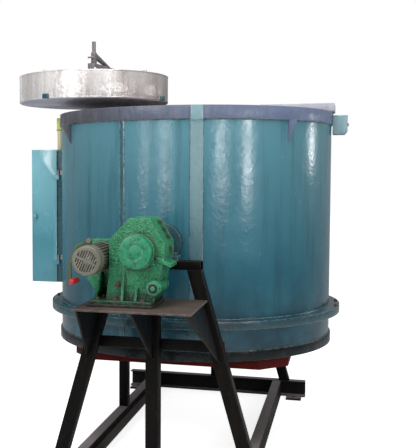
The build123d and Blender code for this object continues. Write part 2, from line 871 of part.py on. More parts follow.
straps = [vertical_strap(a) - ring_space for a in strap_angles]
save("shell_straps", on_drum(group(straps + [seam - ring_space] + [rim_gusset(a) for a in gusset_angles])))

# Drum ends, pan, mouth and launder
bottom_plate = upright(shell_inner, drum_bottom, drum_bottom + plate_thickness)
edge = pan_half - pan_chamfer
pan_points = [(pan_half, -edge), (pan_half, edge), (edge, pan_half), (-edge, pan_half),
              (-pan_half, edge), (-pan_half, -edge), (-edge, -pan_half), (edge, -pan_half)]
pan_face = make_face(Polyline(*[(x, y, pan_bottom) for x, y in pan_points], close=True))
pan = extrude(pan_face, amount=pan_depth, dir=(0, 0, 1))
pan_inner_face = offset(pan_face, amount=-plate_thickness, kind=Kind.INTERSECTION)
pan_inner = extrude(pan_inner_face, amount=pan_depth, dir=(0, 0, 1))
save("bottom_pan", on_drum(group([pan - Pos(0, 0, plate_thickness) * pan_inner, bottom_plate])))
save("top_plate", on_drum(ring(shell_inner, mouth_radius, top_plate_under, drum_top)))
save("mouth_ring", on_drum(ring(mouth_radius + mouth_ring_width, mouth_radius, drum_top, mouth_ring_top)))


def launder():
    outer = launder_width / 2
    inner = outer - launder_wall
    body = block(launder_start, launder_end, -outer, outer, drum_top, drum_top + launder_height)
    body -= block(launder_start - 1, launder_end + 1, -inner, inner, drum_top + launder_wall, drum_top + 200)
    return body


save("launder", on_drum(launder()))


def spout_bracket():
    top = drum_top - spout_bracket_top
    low = top - spout_bracket_height
    reach = drum_radius + spout_bracket_reach
    outline = [(drum_radius - 40, top), (reach, top), (reach, low + 22), (reach - 16, low),
               (drum_radius - 40, low)]
    body = profile_y(outline, -spout_bracket_width / 2, spout_bracket_width / 2)
    inner = spout_bracket_width / 2 - spout_bracket_plate
    body -= block(0, reach - spout_bracket_plate, -inner, inner, low - 1, top - spout_bracket_plate)
    return body - upright(band_outer, 0, beyond)


save("spout_bracket", on_drum(spout_bracket()))

# Melting vessel
lining = upright(lining_radius, base_block_top, top_plate_under)
lining -= upright(cavity_radius, cavity_floor, drum_top)
save("crucible_lining", on_drum(lining))
yoke_top = top_plate_under - top_block_height
coil_low = box_bottom + coil_above_box_floor
coil_high = box_top - coil_below_box_top
coil_pitch = (coil_high - coil_low) / coil_turns
base_block = upright(base_block_radius, drum_bottom + plate_thickness, base_block_top)
sleeve = ring(lining_radius + insulation_thickness, lining_radius, base_block_top, yoke_top)
top_block = ring(base_block_radius, lining_radius, yoke_top, top_plate_under)
save("refractory_blocks", on_drum(group([base_block, sleeve, top_block])))


def coil_point(turns):
    angle = pi + 2 * pi * turns
    return Vector(coil_radius * cos(angle), coil_radius * sin(angle), coil_low + coil_pitch * turns)


def coil_path():
    arcs = []
    for quarter in range(4 * coil_turns):
        start = quarter / 4
        arcs.append(ThreePointArc(coil_point(start), coil_point(start + 0.125), coil_point(start + 0.25)))
    return Wire(arcs)


def induction_coil():
    path = coil_path()
    start = path.position_at(0)
    section = Plane(origin=start, z_dir=path.tangent_at(0)) * Circle(coil_tube_radius)
    return sweep(section, path=path)


save("induction_coil", on_drum(induction_coil()))
print("coil: least gap between turns", round(coil_pitch - 2 * coil_tube_radius, 2))

# Copper leads run from the coil's two ends straight out through the shell into the terminal box
lead_start = coil_radius + coil_tube_radius * 0.2
lead_end = drum_radius + lead_length_past_shell


def coil_lead(z):
    return Pos(-(lead_start + lead_end) / 2, 0, z) * Box(lead_end - lead_start, coil_lead_gap, coil_lead_gap)


coil_ends = upright(coil_radius + coil_tube_radius, 0, beyond)
save("coil_leads", on_drum(group([coil_lead(z) - coil_ends for z in (coil_low, coil_high)])))


def yoke(angle):
    return turned(angle, block(yoke_inner, yoke_outer, -yoke_width / 2, yoke_width / 2,
                               base_block_top, yoke_top))


yoke_angles = [yoke_start_angle + 360 * n / yoke_count for n in range(yoke_count)]
save("magnetic_yokes", on_drum(group([yoke(a) for a in yoke_angles])))


support_inner = coil_radius + coil_tube_radius + 0.3


def coil_support(angle):
    return turned(angle, block(support_inner, yoke_inner, -yoke_width / 4, yoke_width / 4,
                               base_block_top, yoke_top))


support_cut = upright(support_inner, 0, beyond)
supports = [coil_support(a) - support_cut for a in yoke_angles]


def yoke_bolt(angle, z):
    middle = (yoke_outer + shell_inner) / 2
    rod = Pos(middle, 0, z) * Rot(0, 90, 0) * Cylinder(yoke_bolt_radius, shell_inner - yoke_outer + 20)
    rod &= ring(shell_inner, 1, z - 50, z + 50)
    return turned(angle, rod & block(yoke_outer, beyond, -50, 50, z - 50, z + 50))


yoke_bolt_levels = (base_block_top + 160, yoke_top - 160)
bolts = [yoke_bolt(a, z) for a in yoke_angles for z in yoke_bolt_levels]
save("coil_fixings", on_drum(group(supports + bolts)))

# Terminal box with its door
box_half = box_width / 2
box_back_x = -(drum_radius - 30)


def terminal_box():
    body = block(-box_outer_x, box_back_x, -box_half, box_half, box_bottom, box_top)
    body -= block(-box_outer_x + box_wall, 0, -box_half + box_wall, box_half - box_wall,
                  box_bottom + box_wall, box_top - box_wall)
    body -= block(-box_outer_x + door_stile, -door_hinge_x - door_stile,
                  -box_half - 1, -box_half + box_wall + 1,
                  box_bottom + door_stile, box_top - door_stile)
    body -= upright(drum_radius, 0, beyond)
    return body


door_face = -box_half - door_gap - door_thickness
hinge_x = -door_hinge_x
hinge_y = door_face - hinge_radius + door_thickness
hinge_levels = [box_top - share * box_height for share in hinge_places]


def hinge_cylinder(radius, z0, z1):
    return upright(radius, z0, z1, hinge_x, hinge_y)


def terminal_door():
    body = block(-box_outer_x, hinge_x - hinge_radius - 3, door_face, door_face + door_thickness,
                 box_bottom, box_top)
    for z in hinge_levels:
        low = z - hinge_height / 2
        high = z - 0.5
        knuckle = hinge_cylinder(hinge_radius, low, high)
        leaf = block(hinge_x - hinge_radius - 30, hinge_x, door_face - 3, door_face, low, high)
        body += knuckle + leaf
        body -= hinge_cylinder(hinge_pin_radius + running_gap, low - 1, low + hinge_height)
    return body


def hinge_fixed():
    parts = []
    for z in hinge_levels:
        high = z + hinge_height / 2
        knuckle = hinge_cylinder(hinge_radius, z + 0.5, high)
        leaf = block(hinge_x, hinge_x + 26, -box_half - 3, -box_half, z + 0.5, high)
        web = block(hinge_x, hinge_x + hinge_radius, hinge_y, -box_half, z + 0.5, high)
        pin = hinge_cylinder(hinge_pin_radius, z - hinge_height / 2 + 2, high + 4)
        parts.append(knuckle + leaf + web + pin)
    return group(parts)


save("door_hinges", on_drum(hinge_fixed()))
knob_x = -box_outer_x + 26
knob = along_y(knob_radius, door_face - 22, door_face - 8, knob_x, (box_bottom + box_top) / 2)
knob += along_y(knob_radius * 0.4, door_face - 8, door_face, knob_x, (box_bottom + box_top) / 2)
save("terminal_door", on_drum(group([terminal_door(), knob])))
board = block(-lead_end + 25, -lead_end + 25 + lead_board_thickness,
              -box_half + box_wall, box_half - box_wall,
              box_bottom + box_wall, box_top - box_wall)
board -= coil_lead(coil_low)
board -= coil_lead(coil_high)
save("terminal_box", on_drum(group([terminal_box(), board])))
cap_top = drum_top - cap_below_rim
pipe = ring(conduit_radius, conduit_radius - conduit_wall, box_top, cap_top - cap_height + 10,
            -conduit_x, conduit_y)
cap = upright(cap_radius, cap_top - cap_height, cap_top, -conduit_x, conduit_y)
cap -= upright(conduit_radius, cap_top - cap_height - 1, cap_top - cap_height + 10, -conduit_x, conduit_y)
save("conduit", on_drum(group([pipe, cap])))

# Lid swing: the post stands where it is equally far from the lid's open and closed centres
span_x = lid_closed_x - lid_open_x
span_y = -lid_open_y
span = hypot(span_x, span_y)
middle_x = (lid_closed_x + lid_open_x) / 2
middle_y = lid_open_y / 2
across_x = -span_y / span
across_y = span_x / span
along_middle = middle_x * across_x + middle_y * across_y
reach_out = -along_middle + sqrt(along_middle**2 - (middle_x**2 + middle_y**2 - post_distance**2))
post_x = middle_x + across_x * reach_out
post_y = middle_y + across_y * reach_out
arm_length = hypot(post_x - lid_open_x, post_y - lid_open_y)
close_angle = 2 * degrees(asin(span / 2 / arm_length))
arm_direction = degrees(atan2(lid_open_y - post_y, lid_open_x - post_x))
print("lid post at", round(drum_x + post_x, 2), round(post_y, 2), "arm", round(arm_length, 2),
      "closing angle", round(close_angle, 3))


def on_arm(shape):
    """Place a shape drawn with the post at the origin and the arm along +X."""
    return Pos(drum_x + post_x, post_y, 0) * Rot(0, 0, arm_direction) * shape


post_foot = drum_top - post_length_below_rim
collar_bottom = drum_top - 12
thrust_collar = upright(post_radius + 15, collar_bottom, collar_bottom + 24)
save("swing_post", on_arm(upright(post_radius, post_foot, arm_top) + thrust_collar))
rod_hole = rod_size / 2 + rod_gap
arm = block(post_radius, arm_length + 45, -arm_width / 2, arm_width / 2, arm_under, arm_top)
arm -= block(arm_length - rod_hole, arm_length + rod_hole, -rod_hole, rod_hole, arm_under - 1, arm_top + 1)
arm -= upright(post_radius + 16, arm_under - 1, arm_top + 1)
save("swing_arm", on_arm(arm + ring(post_radius + 17, post_radius, arm_under, arm_top)))
guide_outer = rod_hole + guide_wall
guide = block(arm_length - guide_outer, arm_length + guide_outer, -guide_outer, guide_outer, arm_top,
              arm_top + guide_height)
guide -= block(arm_length - rod_hole, arm_length + rod_hole, -rod_hole, rod_hole,
               arm_top - 1, arm_top + guide_height + 1)
screw_z = arm_top + guide_height / 2
guide -= Pos(arm_length + guide_outer, 0, screw_z) * Rot(0, 90, 0) * Cylinder(clamp_screw_radius, 20)


def brace_strap(side):
    high = arm_top + guide_height - 6
    x1 = arm_length - guide_outer
    x0 = arm_length - brace_reach
    outer = side * guide_outer
    inner = side * (guide_outer - brace_thickness)
    points = [(x0 - 14, arm_top), (x0 + 14, arm_top), (x1, high - 26), (x1, high)]
    return profile_y(points, min(outer, inner), max(outer, inner))


guide += brace_strap(-1) + brace_strap(1)
screw = Pos(arm_length + rod_hole + 17, 0, screw_z) * Rot(0, 90, 0) * Cylinder(clamp_screw_radius, 34)
screw += Pos(arm_length + rod_size / 2 + 34, 0, screw_z) * Box(8, 44, 10)
save("rod_guide", on_arm(group([guide, screw])))


def post_bracket(z0, z1):
    """Plate from the shell to a ring round the post, drawn with the drum axis at the origin."""
    direction = degrees(atan2(post_y, post_x))
    plate = block(drum_radius - 40, post_distance, -55, 55, z0, z1)
    body = plate + upright(post_radius + 22, z0, z1, post_distance, 0)
    body -= upright(post_radius + bearing_gap, z0 - 1, z1 + 1, post_distance, 0)
    return on_drum(turned(direction, body))


shell_body = on_drum(upright(drum_radius, 0, beyond))
band_body = on_drum(upright(band_outer, drum_top - top_band_height, beyond))
upper_z1 = collar_bottom - thrust_gap
upper_bracket = post_bracket(upper_z1 - 50, upper_z1) - band_body
lower_bracket = post_bracket(post_foot + 10, post_foot + 60) - shell_body
save("post_brackets", group([upper_bracket, lower_bracket]))

# Lid
lid_x = drum_x + lid_open_x
lid_y = lid_open_y
lid_plate_under = lid_top - lid_top_plate
skirt_foot = lid_under + lid_lining_drop
save("lid_lining", upright(lid_radius - lid_sheet, lid_under, lid_plate_under, lid_x, lid_y))


def lid_lug(angle):
    lug = block(lid_radius - 10, lid_radius + lid_lug_depth, -lid_lug_size / 2, lid_lug_size / 2,
                skirt_foot, skirt_foot + lid_lug_size * 0.7)
    return Pos(lid_x, lid_y, 0) * turned(angle, lug - upright(lid_radius - lid_sheet, 0, beyond))


lid_shell = ring(lid_radius, lid_radius - lid_sheet, skirt_foot, lid_top, lid_x, lid_y)
lid_shell += upright(lid_radius - lid_sheet, lid_plate_under, lid_top, lid_x, lid_y)
for angle in lid_lug_angles:
    lid_shell += lid_lug(angle)
save("lid_shell", lid_shell)
rod = Pos(lid_x, lid_y, (lid_top + lid_top + rod_above_lid) / 2) * Rot(0, 0, arm_direction)
save("lift_rod", rod * Box(rod_size, rod_size, rod_above_lid))
print("lay shaft at", round(lay_x, 3), round(lay_z, 3), "lid drop", round(lid_under - mouth_ring_top, 2))
print("anchor holes", 2 * anchor_half_spacing, "by", 2 * anchor_y)
print("door hinge at", drum_x + hinge_x, hinge_y, "box", drum_x - box_outer_x, box_bottom, box_top,
      "lead end", drum_x - lead_end)
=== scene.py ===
import bpy
import bmesh
import json
from math import cos, degrees, pi, radians, sin, sqrt
from mathutils import Matrix, Vector

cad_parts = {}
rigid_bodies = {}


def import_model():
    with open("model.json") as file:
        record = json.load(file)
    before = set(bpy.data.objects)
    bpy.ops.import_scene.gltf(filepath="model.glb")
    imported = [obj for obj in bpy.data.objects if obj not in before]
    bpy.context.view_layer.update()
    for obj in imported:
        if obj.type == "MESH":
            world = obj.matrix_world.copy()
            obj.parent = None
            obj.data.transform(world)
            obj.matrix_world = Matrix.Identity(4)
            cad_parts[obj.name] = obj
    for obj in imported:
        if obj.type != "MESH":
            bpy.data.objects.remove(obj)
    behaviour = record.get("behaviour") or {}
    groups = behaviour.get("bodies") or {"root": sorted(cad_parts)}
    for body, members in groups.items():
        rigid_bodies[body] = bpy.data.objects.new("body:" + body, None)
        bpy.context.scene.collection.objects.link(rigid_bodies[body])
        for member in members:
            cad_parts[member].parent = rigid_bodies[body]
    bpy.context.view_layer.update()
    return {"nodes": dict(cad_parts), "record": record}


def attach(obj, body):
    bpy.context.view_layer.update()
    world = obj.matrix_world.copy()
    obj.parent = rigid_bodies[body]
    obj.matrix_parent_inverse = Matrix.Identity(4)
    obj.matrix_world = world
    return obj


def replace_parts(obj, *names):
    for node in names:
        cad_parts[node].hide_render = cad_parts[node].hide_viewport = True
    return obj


# Dress of a tilting induction melting furnace: metres, +Z up, gearbox side at -Y, pouring side at +X
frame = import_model()
bpy.ops.object.select_all(action='DESELECT')

# Places read off the model
drum_x = 0.015
drum_radius = 0.85
drum_top = 2.06
tilt_height = 1.313
frame_y = 1.1
motor_x = -0.224
motor_z = 1.272
bodies = frame["record"]["behaviour"]["bodies"]
body_of_node = {node: body for body, nodes in bodies.items() for node in nodes}
slot_of_node = {entry["node"]: entry["material_slot"] for entry in frame["record"]["subparts"]}


# Finishes
def new_finish(name):
    finish = bpy.data.materials.new(name)
    finish.use_nodes = True
    nodes = finish.node_tree.nodes
    links = finish.node_tree.links
    shader = nodes["Principled BSDF"]
    place = nodes.new("ShaderNodeTexCoord")
    return finish, nodes, links, shader, place.outputs["Object"]


def stretched(nodes, links, place, scale):
    mapping = nodes.new("ShaderNodeMapping")
    mapping.inputs["Scale"].default_value = scale
    links.new(place, mapping.inputs["Vector"])
    return mapping.outputs["Vector"]


def noise(nodes, links, place, scale, detail=4.0, roughness=0.55, distortion=0.0):
    texture = nodes.new("ShaderNodeTexNoise")
    texture.inputs["Scale"].default_value = scale
    texture.inputs["Detail"].default_value = detail
    texture.inputs["Roughness"].default_value = roughness
    texture.inputs["Distortion"].default_value = distortion
    links.new(place, texture.inputs["Vector"])
    return texture.outputs["Fac"]


def masked(nodes, links, value, low, high, most=1.0):
    spread = nodes.new("ShaderNodeMapRange")
    spread.inputs["From Min"].default_value = low
    spread.inputs["From Max"].default_value = high
    spread.inputs["To Max"].default_value = most
    links.new(value, spread.inputs["Value"])
    return spread.outputs["Result"]


def product(nodes, links, one, other):
    times = nodes.new("ShaderNodeMath")
    times.operation = 'MULTIPLY'
    links.new(one, times.inputs[0])
    links.new(other, times.inputs[1])
    return times.outputs[0]


def blended(nodes, links, share, under, over):
    mix = nodes.new("ShaderNodeMix")
    mix.data_type = 'RGBA'
    links.new(share, mix.inputs["Factor"])
    for socket, colour in ((mix.inputs["A"], under), (mix.inputs["B"], over)):
        if isinstance(colour, tuple):
            socket.default_value = (*colour, 1.0)
        else:
            links.new(colour, socket)
    return mix.outputs["Result"]


def axis_share(nodes, links, place, axis, low, high, most=1.0):
    """How far a point lies from low to high along an axis."""
    apart = nodes.new("ShaderNodeSeparateXYZ")
    links.new(place, apart.inputs["Vector"])
    return masked(nodes, links, apart.outputs[axis], low, high, most)


def edge_share(nodes, links, place, width=0.006, most=0.8):
    """How near a point lies to a sharp edge, broken up by noise."""
    rounded = nodes.new("ShaderNodeBevel")
    rounded.samples = 4
    rounded.inputs["Radius"].default_value = width
    surface = nodes.new("ShaderNodeNewGeometry")
    along = nodes.new("ShaderNodeVectorMath")
    along.operation = 'DOT_PRODUCT'
    links.new(rounded.outputs["Normal"], along.inputs[0])
    links.new(surface.outputs["Normal"], along.inputs[1])
    near = masked(nodes, links, along.outputs["Value"], 0.995, 0.92)
    broken = masked(nodes, links, noise(nodes, links, place, 35.0, 6.0, 0.7), 0.40, 0.60, most)
    return product(nodes, links, near, broken)


def upward_share(nodes, links, most=1.0):
    """How level a surface lies, for painted light on faces turned up."""
    surface = nodes.new("ShaderNodeNewGeometry")
    apart = nodes.new("ShaderNodeSeparateXYZ")
    links.new(surface.outputs["Normal"], apart.inputs["Vector"])
    return masked(nodes, links, apart.outputs["Z"], 0.70, 0.95, most)


def corner_shade_share(nodes, links, reach, most=1.0):
    """How closed in a point lies, for painted shade in corners."""
    shade = nodes.new("ShaderNodeAmbientOcclusion")
    shade.samples = 6
    shade.inputs["Distance"].default_value = reach
    return masked(nodes, links, shade.outputs["AO"], 0.85, 0.35, most)


def rough_and_bumped(nodes, links, shader, place, rough, bumps):
    """Uneven gloss, and a stack of bumps given as (scale, height in metres)."""
    grain = noise(nodes, links, place, 9.0, 6.0, 0.65)
    spread = masked(nodes, links, grain, 0.3, 0.7)
    range_node = spread.node
    range_node.inputs["To Min"].default_value = rough[0]
    range_node.inputs["To Max"].default_value = rough[1]
    links.new(spread, shader.inputs["Roughness"])
    previous = None
    for scale, height in bumps:
        bump = nodes.new("ShaderNodeBump")
        bump.inputs["Distance"].default_value = height
        links.new(noise(nodes, links, place, scale, 3.0, 0.5), bump.inputs["Height"])
        if previous:
            links.new(previous, bump.inputs["Normal"])
        previous = bump.outputs["Normal"]
    if previous:
        links.new(previous, shader.inputs["Normal"])


def worn_paint(name, colour, deep, dirt, rust, rough=(0.3, 0.5), bumps=((14.0, 0.004), (90.0, 0.0008)),
               streaks=0.35, chips=0.25, foot=None, gloss=0.5, edge=None, top_tone_and_light=None, top_light=None):
    """Brushed-on paint: cloudy tone, runs of dirt down its height, and chips down to rust; optionally a
    colour for the upper part that is mostly painted light, and painted light on level faces.
    """
    finish, nodes, links, shader, place = new_finish(name)
    cloud = masked(nodes, links, noise(nodes, links, place, 2.2, 5.0, 0.6), 0.32, 0.68)
    tone = blended(nodes, links, cloud, deep, colour)
    # Upper part blended to a given colour: painted light on the drum shell, strap and door panel; on the
    # conduit it is the pipe's own yellow top.
    if top_tone_and_light:
        tone = blended(nodes, links, axis_share(nodes, links, place, "Z", top_tone_and_light[0], top_tone_and_light[1]), tone, top_tone_and_light[2])
    run_place = stretched(nodes, links, place, (16.0, 16.0, 1.1))
    runs = masked(nodes, links, noise(nodes, links, run_place, 1.0, 5.0, 0.6), 0.52, 0.74, streaks)
    tone = blended(nodes, links, runs, tone, dirt)
    if foot:
        low = axis_share(nodes, links, place, "Z", foot[1], foot[0])
        uneven = masked(nodes, links, noise(nodes, links, place, 6.0, 6.0, 0.6), 0.25, 0.6)
        tone = blended(nodes, links, product(nodes, links, low, uneven), tone, dirt)
    chip = masked(nodes, links, noise(nodes, links, place, 26.0, 8.0, 0.68, 0.4), 0.62, 0.68, chips)
    tone = blended(nodes, links, chip, tone, rust)
    # Painted light from above: faces turned up made lighter.
    if top_light:
        tone = blended(nodes, links, upward_share(nodes, links), tone, top_light)
    if edge:
        tone = blended(nodes, links, edge_share(nodes, links, place), tone, edge)
    links.new(tone, shader.inputs["Base Color"])
    rough_and_bumped(nodes, links, shader, place, rough, bumps)
    shader.inputs["Specular IOR Level"].default_value = gloss
    return finish


def bare_metal(name, colour, deep, rough=(0.28, 0.5), stretch=(1, 1, 1)):
    """Worked metal with a faint grain and patches of tarnish."""
    finish, nodes, links, shader, place = new_finish(name)
    run_place = stretched(nodes, links, place, stretch)
    cloud = masked(nodes, links, noise(nodes, links, run_place, 5.0, 6.0, 0.65), 0.3, 0.7)
    links.new(blended(nodes, links, cloud, deep, colour), shader.inputs["Base Color"])
    rough_and_bumped(nodes, links, shader, place, rough, ((60.0, 0.0006),))
    shader.inputs["Metallic"].default_value = 0.85
    return finish


def cast_green(name, light, deep, grain_scale, grain_height, crest_most):
    """Thick glossy green over cast iron, dark in the grain, with painted shade in corners and a painted
    highlight along edges, greasy at the foot.
    """
    finish, nodes, links, shader, place = new_finish(name)
    cloud = masked(nodes, links, noise(nodes, links, place, 5.0, 5.0, 0.6), 0.32, 0.68)
    tone = blended(nodes, links, cloud, deep, light)
    grain = noise(nodes, links, place, grain_scale, 5.0, 0.65)
    pits = masked(nodes, links, grain, 0.48, 0.36, 0.7)
    tone = blended(nodes, links, pits, tone, (0.003, 0.040, 0.018))
    crests = masked(nodes, links, grain, 0.56, 0.70, crest_most)
    tone = blended(nodes, links, crests, tone, (0.16, 0.56, 0.34))
    worn = masked(nodes, links, noise(nodes, links, place, 17.0, 8.0, 0.7, 0.5), 0.62, 0.68, 0.55)
    tone = blended(nodes, links, worn, tone, (0.070, 0.040, 0.020))
    # Painted shade: darker where the point is closed in.
    tone = blended(nodes, links, corner_shade_share(nodes, links, 0.05, 0.9), tone, (0.006, 0.010, 0.006))
    low = axis_share(nodes, links, place, "Z", 1.115, 1.070)
    uneven = masked(nodes, links, noise(nodes, links, place, 22.0, 6.0, 0.6), 0.25, 0.55, 0.9)
    tone = blended(nodes, links, product(nodes, links, low, uneven), tone, (0.012, 0.010, 0.007))
    # Painted highlight: lighter green along sharp edges.
    tone = blended(nodes, links, edge_share(nodes, links, place, 0.005, 0.6), tone, (0.24, 0.62, 0.44))
    links.new(tone, shader.inputs["Base Color"])
    rough_and_bumped(nodes, links, shader, place, (0.16, 0.34), ((16.0, 0.003), (grain_scale, grain_height),
                                                                (260.0, 0.0012)))
    return finish


def banded_paint():
    """Dark band paint with painted light: greyer and brighter towards the rim, painted shade to near black at
    the foot, and a painted bluish sheen towards +X.
    """
    finish, nodes, links, shader, place = new_finish("dark_band_paint")
    # Painted light and shade: lighter with height.
    high = axis_share(nodes, links, place, "Z", 0.9, 1.9)
    tone = blended(nodes, links, high, (0.002, 0.006, 0.007), (0.075, 0.078, 0.094))
    run_place = stretched(nodes, links, place, (11.0, 11.0, 2.0))
    runs = masked(nodes, links, noise(nodes, links, run_place, 1.0, 6.0, 0.65), 0.48, 0.72, 0.6)
    tone = blended(nodes, links, product(nodes, links, runs, high), tone, (0.19, 0.195, 0.22))
    dirt = masked(nodes, links, noise(nodes, links, place, 24.0, 8.0, 0.7), 0.58, 0.66, 0.5)
    tone = blended(nodes, links, dirt, tone, (0.030, 0.020, 0.016))
    tone = blended(nodes, links, edge_share(nodes, links, place), tone, (0.18, 0.19, 0.20))
    # Painted bluish sheen on the +X side of the upper part.
    blue = product(nodes, links, axis_share(nodes, links, place, "X", -0.5, 0.75, 0.75), high)
    tone = blended(nodes, links, blue, tone, (0.155, 0.205, 0.330))
    links.new(tone, shader.inputs["Base Color"])
    shader.inputs["Specular IOR Level"].default_value = 0.25
    rough_and_bumped(nodes, links, shader, place, (0.20, 0.42), ((18.0, 0.005), (80.0, 0.001)))
    return finish


